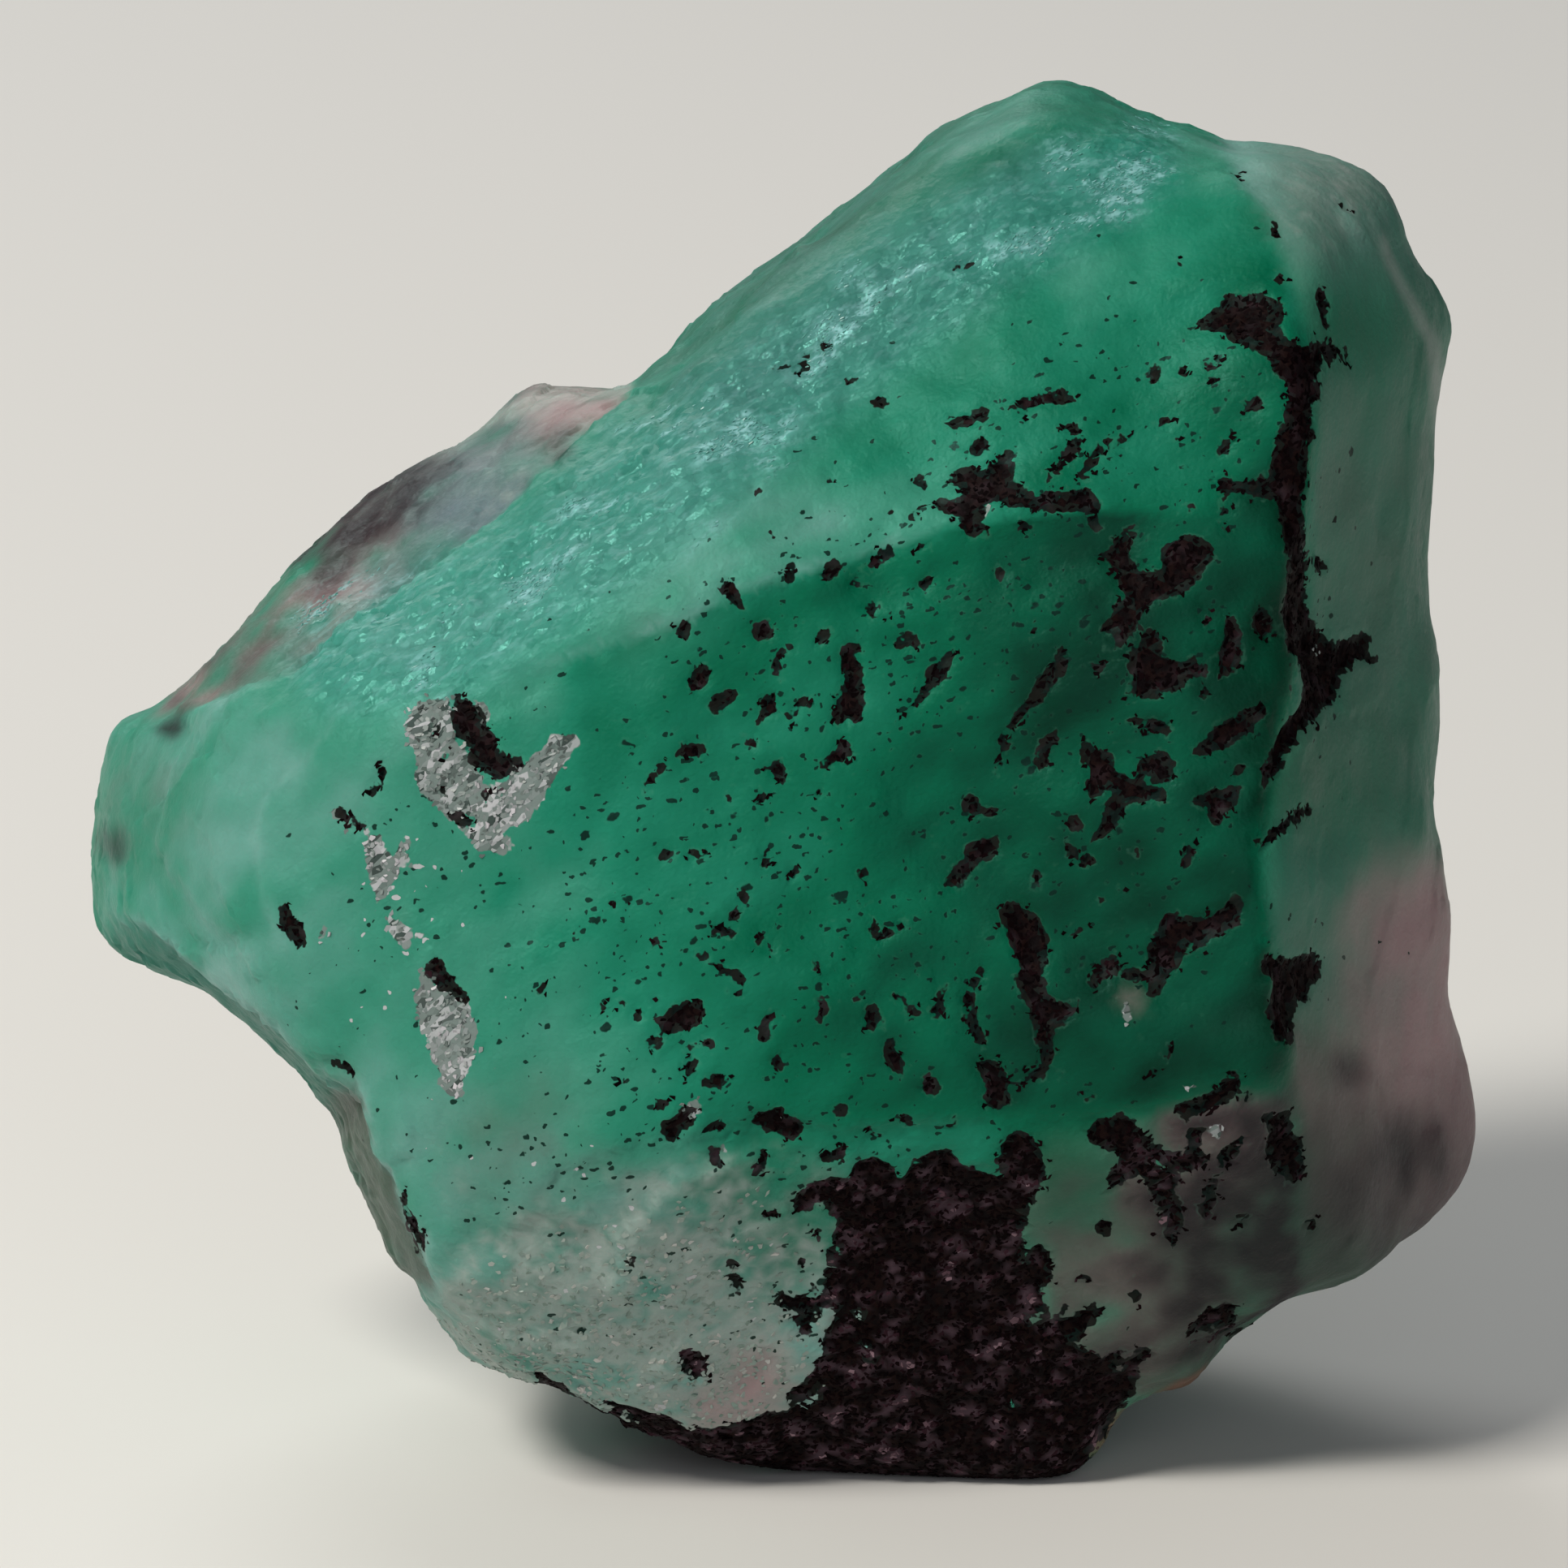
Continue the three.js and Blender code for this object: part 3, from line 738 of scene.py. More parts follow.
# Where one look gives way to the next, from and to or at one value, in pixels of the picture
borders = {
    "front": (-0.26, -0.04),  # not pixels: how far a face is turned to the camera
    "broadFace": (0.75, 0.95),  # the same
    "underneath": (1380, 1460),
    "ledgeLeft": (540, 760), "ledgeRight": (1330, 1560),  # the ledge is sharp between these
    "ledgeCrisp": (-7, 7), "ledgeSoft": (-110, 110), "ledgeLip": (10, 90),
    "rightSide": (-14, 22),
    "underSide": (-24, 40), "underSofter": (900, 1100),
    "lobe": (-10, 14), "lobeRight": (770, 800),
    "bleachedRight": 760,
    "edgeEnds": (0, 45), "edgeNearBand": (-5, 12), "edgeNearFull": 30, "edgeStep": (-6, 6), "edgeLine": 9,
}
tears = {"wide": 8.0, "wideUnder": 10.0, "fine": 7.0}  # pixels that the outlines of marks wander
farOutside = -0.6  # mm, well outside every mark

front = smooth(facing + 0.1 * fieldNoise(mm, 1.8, 41), *borders["front"])
onFace = smooth(facing, *borders["broadFace"])


def behind(value, other):
    return value * front + other * (1 - front)


def grownOn(marks, grown):  # the picture's marks in front, and on the back marks grown of noise
    return np.maximum(behind(marks, farOutside), np.where(front < 0.9, grown - front * 1.2, -1))


along = mm[:, 0] * math.cos(streakLean) + mm[:, 2] * math.sin(streakLean)
across = mm[:, 2] * math.cos(streakLean) - mm[:, 0] * math.sin(streakLean)
streaks = np.stack([along * 0.4, mm[:, 1], across], axis=1)
cloud = fieldNoise(mm, 7.0, 1)
patch = fieldNoise(mm, 4.2, 2) + 0.45 * fieldNoise(mm, 1.7, 3)
underneath = smooth(seen[:, 1], *borders["underneath"])
wander = np.stack([fieldNoise(mm, 1.3, 21), fieldNoise(mm, 1.3, 22)], axis=1)
torn = seen + (tears["wide"] + tears["wideUnder"] * underneath)[:, None] * wander
torn += tears["fine"] * np.stack([fieldNoise(mm, 0.45, 23), fieldNoise(mm, 0.45, 24)], axis=1)
mica = insideMarks(torn, darkMica)
pale = insideMarks(torn, paleMica)
mica += underneath * (0.16 * fieldNoise(mm, 0.9, 25) + 0.16 * fieldNoise(mm, 0.45, 26))
pale += 0.16 * fieldNoise(mm, 0.5, 27) - 0.04  # gaps between the bleached flakes
bleached = seen[:, 0] < borders["bleachedRight"]
pale = np.where(bleached, np.minimum(pale, 0.03 - mica), pale)  # these patches keep a dark heart
blades = fieldNoise(streaks, 1.3, 42) + 0.5 * fieldNoise(streaks, 0.55, 43) + 0.35 * cloud
grownBehind = np.maximum((patch - 0.5) * 1.1, (blades - 0.62) * 0.7)
mica = grownOn(mica, grownBehind)
pale = grownOn(pale, -patch - 0.66)

aboveLedge = aboveLine(seen, ledgeLine)
sharp = smooth(seen[:, 0], *borders["ledgeLeft"]) * (1 - smooth(seen[:, 0], *borders["ledgeRight"]))
crisp, soft = smooth(aboveLedge, *borders["ledgeCrisp"]), smooth(aboveLedge, *borders["ledgeSoft"])
over = sharp * crisp
side = over + (1 - sharp) * soft
rightSide = smooth(beyondLine(seen, rightRidge), *borders["rightSide"])
softer = 1 - smooth(seen[:, 0], *borders["underSofter"])
underSide = smooth(-aboveLine(seen, underRidge) / (1 + 1.6 * softer), *borders["underSide"])
underSide *= 1 - rightSide * 0.5
lobe = smooth(aboveLine(seen, lobeEdge), *borders["lobe"])
lobe *= 1 - smooth(seen[:, 0], *borders["lobeRight"])


def zoned(name, floor=0.0):  # the broad face's spots, with those of its neighbours beyond the ridges
    if name == "tone":
        value = blendSpots(seen, zones["toneUnderLedge"]) * (1 - side)
        value = value + blendSpots(seen, zones["toneOverLedge"]) * side
    else:
        value = blendSpots(seen, zones[name], floor)
    for share, region in ((underSide, "under"), (rightSide, "right"), (lobe, "lobe")):
        if name in regions[region]:
            value = value * (1 - share) + blendSpots(seen, regions[region][name], floor) * share
    return value


# Ragged breaks up the patches of the back, which is all noise
ragged = 0.3 * fieldNoise(streaks, 1.6, 18) + 0.16 * fieldNoise(mm, 0.7, 19)
tone = behind(zoned("tone"), np.clip(0.6 + 0.5 * cloud + 0.3 * ragged, 0, 1))
grey = behind(zoned("grey", 0.25), np.clip(0.35 + 0.7 * fieldNoise(mm, 9.0, 4) + ragged, 0, 0.8))
warm = behind(zoned("warm", 0.35), smooth(fieldNoise(streaks, 5.0, 5) + ragged, 0.3, 0.75) * 0.4)
quartz = behind(zoned("quartz", 0.3), smooth(fieldNoise(mm, 6.5, 6) + ragged, 0.1, 0.6) * 0.8)
# Dark tint and painted shade; on the back it follows the noise
smokyAndShade = behind(zoned("smokyAndShade", 0.35), smooth(fieldNoise(streaks, 5.0, 15) + ragged, 0.25, 0.7) * 0.6)
blue = behind(zoned("blue", 0.3), smooth(fieldNoise(mm, 6.0, 16) + ragged, 0.1, 0.6) * 0.5)
paleBits = behind(blendSpots(seen, paleSpots, 0.3), 0.15)
specks = behind(blendSpots(seen, zones["specks"], 0.35), smooth(fieldNoise(mm, 8.0, 7), -0.2, 0.6) * 0.8)
swarms = fieldNoise(streaks, 1.2, 51) + 0.5 * fieldNoise(streaks, 0.5, 52)
specks *= 0.4 + 0.95 * smooth(swarms, -0.4, 0.4)
frost = smooth(insideMarks(seen, {"band": [frostLine]}), -1.0, 0.9)
frost = behind(frost, smooth(fieldNoise(mm, 7.0, 8) + ragged, 0.1, 0.5) * 0.8)
print("zones laid")

edgeRise, edgeHighlight, edgeNear = np.zeros(len(seen)), np.zeros(len(seen)), {}
for name, edge in breakEdges.items():
    aside, ends = besideLine(torn, edge["line"])
    fades = smooth(ends, *borders["edgeEnds"]) * front
    faded = 1 - smooth(aside, borders["edgeNearFull"], edge["fade"])
    edgeNear[name] = fades * smooth(aside, *borders["edgeNearBand"]) * faded
    lowered = 1 - smooth(aside, borders["edgeStep"][1], edge["fade"])
    edgeRise += edge["rise"] * fades * smooth(aside, *borders["edgeStep"]) * lowered
    # Painted highlight: a pale line along each edge
    edgeHighlight += edge["pale"] * fades * np.exp(-((aside / borders["edgeLine"]) ** 2))

# The beryl's own colour, from the clear deep green to the milky and the discoloured parts, with painted
# shade, painted sparkle, painted edge highlights and a painted edge glow laid over it
bodyColours = {
    "tones": [
        (-0.15, "#001c10"), (0.0, "#002c1b"), (0.25, "#005a3f"), (0.5, "#18735a"), (0.7, "#3a816d"),
        (0.85, "#578c80"), (1.0, "#6f9a92"),
    ],
    # The dark purplish brown is partly painted shade
    "grey": "#4f6155", "quartz": "#889690", "warm": "#93797b", "smokyAndShade": "#21131a", "blue": "#5c6c76",
    # The two edge colours are a painted glow
    "frost": "#7fb5b8", "frostVeil": "#428581", "warmEdge": "#84483a", "paleEdge": "#a3a7a2",
}


def towards(first, amount, hexColour):
    return first + (np.array(linear(hexColour)) - first) * np.clip(amount, 0, 1)[:, None]


veil = fieldNoise(streaks, 1.8, 11) + 0.5 * fieldNoise(streaks, 0.8, 12)
grit = fieldNoise(mm, 0.34, 17)
mottle = (fieldNoise(mm, 1.6, 13) + 0.5 * fieldNoise(mm, 0.7, 14)) * (1 - 0.7 * rightSide * front)
tone = tone + 0.15 * veil * (1 - 0.6 * rightSide * front) + 0.07 * mottle + edgeHighlight
clumps = smooth(fieldNoise(streaks, 1.5, 31) + 0.6 * fieldNoise(streaks, 0.6, 32), 0.0, 0.6)
# Clumps of the frosted band, whitened partly as battered beryl and partly as painted sparkle
bruisedAndSparkle = frost * clumps
# Painted sheen: patches where the mica, the splinters and the grains get lighter colours, as if they
# caught the light, strongest at the bright flakes
glint = smooth(fieldNoise(mm, 0.55, 33) + 0.9 * fieldNoise(mm, 0.24, 34) + 0.12 * underneath, 0.14, 0.85)
glint *= np.maximum(0.3 + 0.7 * underneath, smooth(pale, -0.1, 0.0))
glint = np.clip(glint + 0.8 * front * blendSpots(seen, brightFlakes, 0.6), 0, 1)
levels = [level for level, _ in bodyColours["tones"]]
shades = np.array([linear(shade) for _, shade in bodyColours["tones"]])
body = np.stack([np.interp(tone, levels, shades[:, i]) for i in range(4)], axis=1)
body = towards(body, smooth(grey * (1 + 0.5 * mottle), 0.1, 0.95), bodyColours["grey"])
body = towards(body, 0.4 * frost, bodyColours["frostVeil"])
body = towards(body, 0.75 * blue * (1 + 0.5 * mottle), bodyColours["blue"])
# Partly painted sparkle: the frost's clumps whitened
body = towards(body, 0.38 * bruisedAndSparkle * (0.6 + 0.4 * mottle), bodyColours["frost"])
body = towards(body, smooth(quartz * (1 + 0.7 * mottle + 0.9 * grit), 0.2, 0.85), bodyColours["quartz"])
body = towards(body, smooth(warm * (1 + 0.6 * mottle), 0.15, 0.85), bodyColours["warm"])
for name, edge in breakEdges.items():
    if "nearColour" in edge:
        body = towards(body, edge["nearShare"] * edgeNear[name], edge["nearColour"])
# Painted glow along the translucent edges, warm and pale
for name, strength, fadeFrom in (("warm", 0.6, -0.12), ("pale", 0.4, -0.2)):
    glow = smooth(insideMarks(seen, {"edge": glowingEdges[name]}), fadeFrom, 0.1)
    body = towards(body, strength * front * glow, bodyColours[name + "Edge"])
# Last, the dark purplish brown that is partly the stone's own tint and partly painted shade
body = towards(body, 0.95 * smooth(smokyAndShade * (1 + 0.7 * mottle), 0.15, 0.9), bodyColours["smokyAndShade"])

# Relief, in mm along the normals. The foot stays flat.
foot = smooth(mm[:, 2], 0.05, 1.0)
inMica = smooth(mica, -0.03, 0.10)
calm = (0.55 + 0.45 * (1 - onFace)) * (1 - 0.6 * rightSide * front)


def uneven(kind, where, noiseOf, points=mm):  # one kind of unevenness, as strong as where says
    form = stone[kind]
    return form["height"] * where * noiseOf(points, form["size"], form["seed"]) * form.get("gain", 1)


relief = uneven("roll", 1, fieldNoise)
relief += uneven("blocks", 1 - 0.75 * front, facetNoise)
relief += uneven("chipping", calm, facetNoise)
relief += uneven("fineChipping", calm, facetNoise)
relief += uneven("frost", frost, facetNoise, mm * [0.75, 1, 1.1])
relief += stone["ledge"] * over * (1 - smooth(aboveLedge, *borders["ledgeLip"])) * front
relief += edgeRise
relief -= stone["micaSunk"] * inMica
relief += uneven("micaRough", inMica, facetNoise)
relief += uneven("quartz", quartz, fieldNoise)
placeVertices(mesh, places + normals * (relief * foot * 0.001)[:, None])
for name, values in {
    "mica": mica, "paleMica": pale, "specks": specks, "paleBits": paleBits, "glint": glint,
    "frost": frost, "bruisedAndSparkle": bruisedAndSparkle, "grains": quartz * (1 - inMica),
}.items():
    mesh.attributes.new(name, "FLOAT", "POINT").data.foreach_set("value", values.astype(np.float32))
colours = mesh.attributes.new("bodyColour", "FLOAT_COLOR", "POINT")
colours.data.foreach_set("color", body.astype(np.float32).ravel())
mesh.shade_smooth()
mesh.update()
print("relief worked in")

# Milky emerald: massive beryl, broken and worn. Cloudy and lit from within, waxy rather than wet.
beryl = {
    "ior": 1.577, "roughness": 0.48, "specular": 0.16, "specularTint": (0.35, 1.0, 0.85, 1.0),
    "cloudiness": 0.3,
    "depth": 0.0007,  # m that light wanders in the cloudy stone
    # The pale blue streaked over the frosted band is painted sparkle
    "halo": "#568a75", "frostSparkle": "#8fc2c4",
    # Biotite grown through it, almost black and brown in patches, with a painted purple sheen on its
    # flakes
    "mica": "#060203", "micaLilacSheen": "#4a3a42", "micaBrown": "#140706", "speck": "#03160f",
    # The same mica bleached silvery, with a painted glint and a painted shade for its flakes
    "paleMica": "#6a7572", "paleGlint": "#a9aaad", "paleShade": "#39403e",
}


def emptyMaterial(name):
    material = bpy.data.materials.new(name)
    material.use_nodes = True
    material.node_tree.nodes.clear()
    return material, material.node_tree


def emeraldMaterial():
    material, tree = emptyMaterial("milky_beryl_with_mica")
    colour = {k: linear(v) for k, v in beryl.items() if isinstance(v, str)}

    def add(kind, inputs=None, **settings):
        return addNode(tree, kind, inputs, **settings)

    def maths(operation, *values):
        return add("ShaderNodeMath", dict(enumerate(values)), operation=operation).outputs[0]

    def stepped(value, low, high):
        ends = {0: value, 1: low, 2: high}
        return add("ShaderNodeMapRange", ends, interpolation_type="SMOOTHSTEP").outputs[0]

    def mixed(amount, first, second):
        return add("ShaderNodeMix", {0: amount, 6: first, 7: second}, data_type="RGBA").outputs[2]

    def field(name):
        return add("ShaderNodeAttribute", attribute_name=name).outputs["Fac"]

    def grain(where, size, detail=2.0, rough=0.5):
        inputs = {"Vector": where, "Scale": 1 / size, "Detail": detail, "Roughness": rough}
        return add("ShaderNodeTexNoise", inputs).outputs["Fac"]

    def cells(where, size):
        return add("ShaderNodeTexVoronoi", {"Vector": where, "Scale": 1 / size})

    def chances(cell):
        return add("ShaderNodeSeparateColor", {0: cell.outputs["Color"]}).outputs

    def vectors(operation, first, second):
        return add("ShaderNodeVectorMath", {0: first, 1: second}, operation=operation).outputs

    def scaled(vector, amount):
        return vectors("MULTIPLY", vector, (amount, amount, amount))[0]

    def tipped(where, cell):  # height of a facet that leans its own way in each cell
        away = vectors("SUBTRACT", where, cell.outputs["Position"])[0]
        slope = vectors("SUBTRACT", cell.outputs["Color"], (0.5, 0.5, 0.5))[0]
        return vectors("DOT_PRODUCT", away, slope)["Value"]

    at = add("ShaderNodeTexCoord").outputs["Object"]
    mmAt = add("ShaderNodeMapping", {"Vector": at, "Scale": (1000, 1000, 1000)}).outputs[0]
    turned = add("ShaderNodeMapping", {"Vector": mmAt, "Rotation": (0, streakLean, 0)}).outputs[0]
    needles = vectors("MULTIPLY", turned, (0.42, 1, 1))[0]
    rough = grain(mmAt, 0.42, 2.0, 0.66)
    wobble = vectors("MULTIPLY", (1.0, 0.4, -0.9), maths("SUBTRACT", rough, 0.5))[0]
    spotted = vectors("ADD", vectors("MULTIPLY", turned, (0.8, 1, 1))[0], scaled(wobble, 0.45))[0]

    # Torn outlines of the mica, by up to 0.2 mm
    tear = maths("MULTIPLY_ADD", rough, 0.44, -0.22)
    micaEdge = maths("ADD", field("mica"), tear)
    micaMask = stepped(micaEdge, -0.018, 0.014)
    haloMask = maths("MULTIPLY", stepped(micaEdge, -0.09, -0.02), maths("SUBTRACT", 1.0, micaMask))
    paleMask = stepped(maths("MULTIPLY_ADD", tear, 1.2, field("paleMica")), -0.03, 0.03)

    # Specks of mica in two sizes, round, and thickest where the specks field is high
    speckMask = speckHalo = paleSpeck = 0.0
    density = field("specks")
    speckSizes = ((0.27, 1.25, 0.11, 0.21, 0.95), (0.72, 0.55, 0.07, 0.14, 0.98))
    for size, share, smallest, swell, strength in speckSizes:
        cell = cells(spotted, size)
        chance = chances(cell)
        reach = maths("MULTIPLY_ADD", chance[0], swell, smallest)
        present = maths("GREATER_THAN", maths("MULTIPLY", density, share), chance[1])
        depth = maths("SUBTRACT", reach, cell.outputs["Distance"])
        inside = maths("MULTIPLY", stepped(depth, -0.02, 0.035), present)
        silvery = maths("GREATER_THAN", maths("MULTIPLY", field("paleBits"), 0.8), chance[2])
        paleSpeck = maths("MAXIMUM", paleSpeck, maths("MULTIPLY", inside, silvery))
        speckMask = maths("MAXIMUM", speckMask, maths("MULTIPLY", inside, strength))
        speckHalo = maths("MAXIMUM", speckHalo, maths("MULTIPLY", stepped(depth, -0.16, -0.02), present))
    speckMask = maths("MULTIPLY", speckMask, maths("SUBTRACT", 1.0, paleMask))

    # Frosted band: hackly crystals 0.2 to 0.4 mm, drawn out along the streaks, that catch the light, with
    # pale blue streaks painted in as their sparkle
    frost = field("frost")
    splinter = cells(needles, 0.17)
    spark = chances(splinter)
    sparkleWisps = stepped(grain(needles, 0.28, 2.0, 0.7), 0.48, 0.66)
    white = stepped(field("bruisedAndSparkle"), 0.0, 0.7)
    white = maths("MULTIPLY_ADD", white, 0.55, maths("MULTIPLY", frost, 0.16))
    sparkleWisps = maths("MULTIPLY", sparkleWisps, white)
    body = add("ShaderNodeAttribute", attribute_name="bodyColour").outputs["Color"]
    body = mixed(maths("MULTIPLY_ADD", rough, 0.5, -0.12), body, scaled(body, 1.35))
    body = mixed(sparkleWisps, body, colour["frostSparkle"])

    # Bleached mica and dark mica, cell by cell like the flakes they are, with painted glints and shade on
    # the bleached and a painted lilac sheen on the dark
    silver = mixed(stepped(spark[0], 0.5, 0.98), colour["paleMica"], colour["paleGlint"])
    silver = mixed(stepped(spark[1], 0.65, 0.95), silver, colour["paleShade"])
    body = mixed(paleMask, body, silver)
    dark = mixed(stepped(rough, 0.42, 0.62), colour["mica"], colour["micaBrown"])
    sheen = maths("MULTIPLY", field("glint"), maths("MULTIPLY_ADD", spark[0], 0.5, 0.4))
    dark = mixed(sheen, dark, colour["micaLilacSheen"])
    halo = maths("MAXIMUM", haloMask, maths("MULTIPLY", speckHalo, 0.5))
    halo = maths("MULTIPLY", maths("MULTIPLY", halo, stepped(rough, 0.42, 0.66)), 0.12)
    body = mixed(halo, body, colour["halo"])
    body = mixed(speckMask, body, mixed(paleSpeck, colour["speck"], colour["paleGlint"]))
    body = mixed(micaMask, body, dark)

    # Relief too fine for the mesh, as heights in mm
    anyMica = maths("MAXIMUM", micaMask, paleMask)
    height = maths("MULTIPLY", grain(mmAt, 0.16, 1.0), 0.022)
    hackly = maths("MULTIPLY_ADD", frost, 0.5, 0.05)
    height = maths("MULTIPLY_ADD", tipped(needles, splinter), hackly, height)
    bump = add("ShaderNodeBump", {"Strength": 1.0, "Distance": 0.001, "Height": height})

    polish = maths("MULTIPLY_ADD", rough, 0.3, beryl["roughness"] - 0.15)
    polish = maths("MULTIPLY_ADD", maths("MULTIPLY", stepped(spark[1], 0.4, 0.9), frost), -0.22, polish)
    flakes = maths("MULTIPLY_ADD", spark[2], 0.3, 0.55)
    polish = add("ShaderNodeMix", {0: anyMica, 2: polish, 3: flakes}).outputs[0]
    solid = maths("MAXIMUM", anyMica, speckMask)
    shader = add("ShaderNodeBsdfPrincipled", {
        "Base Color": body, "Roughness": polish, "IOR": beryl["ior"], "Normal": bump.outputs[0],
        "Specular IOR Level": beryl["specular"], "Specular Tint": beryl["specularTint"],
        "Subsurface Weight": maths("MULTIPLY_ADD", solid, -beryl["cloudiness"], beryl["cloudiness"]),
        "Subsurface Radius": (0.35, 1.0, 0.75), "Subsurface Scale": beryl["depth"],
    })
    add("ShaderNodeOutputMaterial", {"Surface": shader.outputs[0]})
    return material


def biotiteBedMaterial():
    # The mica's own broken ground between its plates: dull, almost black, brown in patches, and lilac
    # where a sheen is painted on
    material, tree = emptyMaterial("broken_biotite")
    gritSize = 0.0003  # m
    at = addNode(tree, "ShaderNodeTexCoord").outputs["Object"]
    grit = addNode(tree, "ShaderNodeTexNoise", {"Vector": at, "Scale": 1 / gritSize, "Detail": 3.0})
    grit = grit.outputs["Fac"]
    browned = addNode(tree, "ShaderNodeMapRange", {0: grit, 1: 0.42, 2: 0.62}).outputs[0]
    ground = addNode(tree, "ShaderNodeMix", {
        0: browned, 6: linear(beryl["mica"]), 7: linear(beryl["micaBrown"]),
    }, data_type="RGBA").outputs[2]
    glint = addNode(tree, "ShaderNodeAttribute", attribute_name="glint").outputs["Fac"]
    lit = addNode(tree, "ShaderNodeMath", {0: glint, 1: 0.8}, operation="MULTIPLY").outputs[0]
    colour = addNode(tree, "ShaderNodeMix", {
        0: lit, 6: ground, 7: linear(beryl["micaLilacSheen"]),
    }, data_type="RGBA").outputs[2]
    bump = addNode(tree, "ShaderNodeBump", {
        "Strength": 0.6, "Distance": 0.0001, "Height": grit,
    }).outputs[0]
    shader = addNode(tree, "ShaderNodeBsdfPrincipled", {
        "Base Color": colour, "Roughness": 0.6, "IOR": 1.6, "Specular IOR Level": 0.04, "Normal": bump,
    })
    addNode(tree, "ShaderNodeOutputMaterial", {"Surface": shader.outputs[0]})
    return material


corners = np.zeros(len(mesh.loops), np.int32)
mesh.loops.foreach_get("vertex_index", corners)
starts = np.zeros(len(mesh.polygons), np.int32)
mesh.polygons.foreach_get("loop_start", starts)
wellInMica = np.minimum.reduceat(mica[corners], starts) > 0.02  # mm inside the drawn edge of the mica
mesh.materials.clear()
mesh.materials.append(emeraldMaterial())
mesh.materials.append(biotiteBedMaterial())
mesh.polygons.foreach_set("material_index", wellInMica.astype(np.int32))
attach(stoneObject, "root")
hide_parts("rough_emerald")
print("stone finished")

# Plates and splinters that stand on the stone, scattered by Geometry Nodes over the marks above.
# Lengths are in metres and tilts in degrees.
scattered = {
    "mica_plates": {
        "mark": "mica", "from": 0.0, "to": 0.10, "perSquareMm": 34.0,
        "radius": 0.00011, "thick": 0.00004, "tilt": 13, "stretch": 1.0, "seed": 3, "sunk": 0.00002,
        # biotite: near black, with a brown or pinkish sheen painted on some plates as lighter shades
        "look": "biotite_plates", "roughness": 0.6, "ior": 1.6, "specular": 0.02,
        "steps": [
            (0.0, "#040102"), (0.34, "#0a0304"), (0.5, "#14070a"), (0.72, "#38232b"), (1.0, "#8c737b"),
        ],
    },
    "bleached_plates": {
        "mark": "paleMica", "from": 0.0, "to": 0.12, "perSquareMm": 36.0,
        "radius": 0.00009, "thick": 0.00003, "tilt": 26, "stretch": 1.0, "seed": 5, "sunk": 0.00001,
        # bleached biotite: dull silver, its brightest shades painted glints
        "look": "bleached_biotite_plates", "roughness": 0.36, "ior": 1.6, "specular": 0.3,
        "steps": [
            (0.0, "#2b3230"), (0.14, "#535f5b"), (0.36, "#75807d"), (0.66, "#a09fa3"), (1.0, "#d4d0d5"),
        ],
    },
    "frost_splinters": {
        "mark": "bruisedAndSparkle", "from": 0.2, "to": 0.9, "perSquareMm": 90.0,
        "radius": 0.000018, "thick": 0.00003, "tilt": 24, "stretch": 3.6, "seed": 7, "sunk": 0.000004,
        # broken beryl that stands up in splinters, whitened where it is battered, its palest shades
        # partly painted sparkle
        "look": "bruised_and_sparkle_splinters", "roughness": 0.35, "ior": 1.577, "specular": 0.35,
        "steps": [
            (0.0, "#458a7d"), (0.3, "#5f9d97"), (0.6, "#80b2b5"), (1.0, "#b4d3da"),
        ],
    },
    "quartz_grains": {
        "mark": "grains", "from": 0.42, "to": 1.0, "perSquareMm": 30.0,
        "radius": 0.00009, "thick": 0.00009, "tilt": 22, "stretch": 1.1, "seed": 9, "sunk": 0.00004,
        # milky quartz and feldspar left on the under side, grain by grain
        "look": "quartz_grains", "roughness": 0.42, "ior": 1.544, "specular": 0.3,
        "steps": [
            (0.0, "#63786e"), (0.3, "#7d8d85"), (0.66, "#959a94"), (1.0, "#c2bebb"),
        ],
    },
}


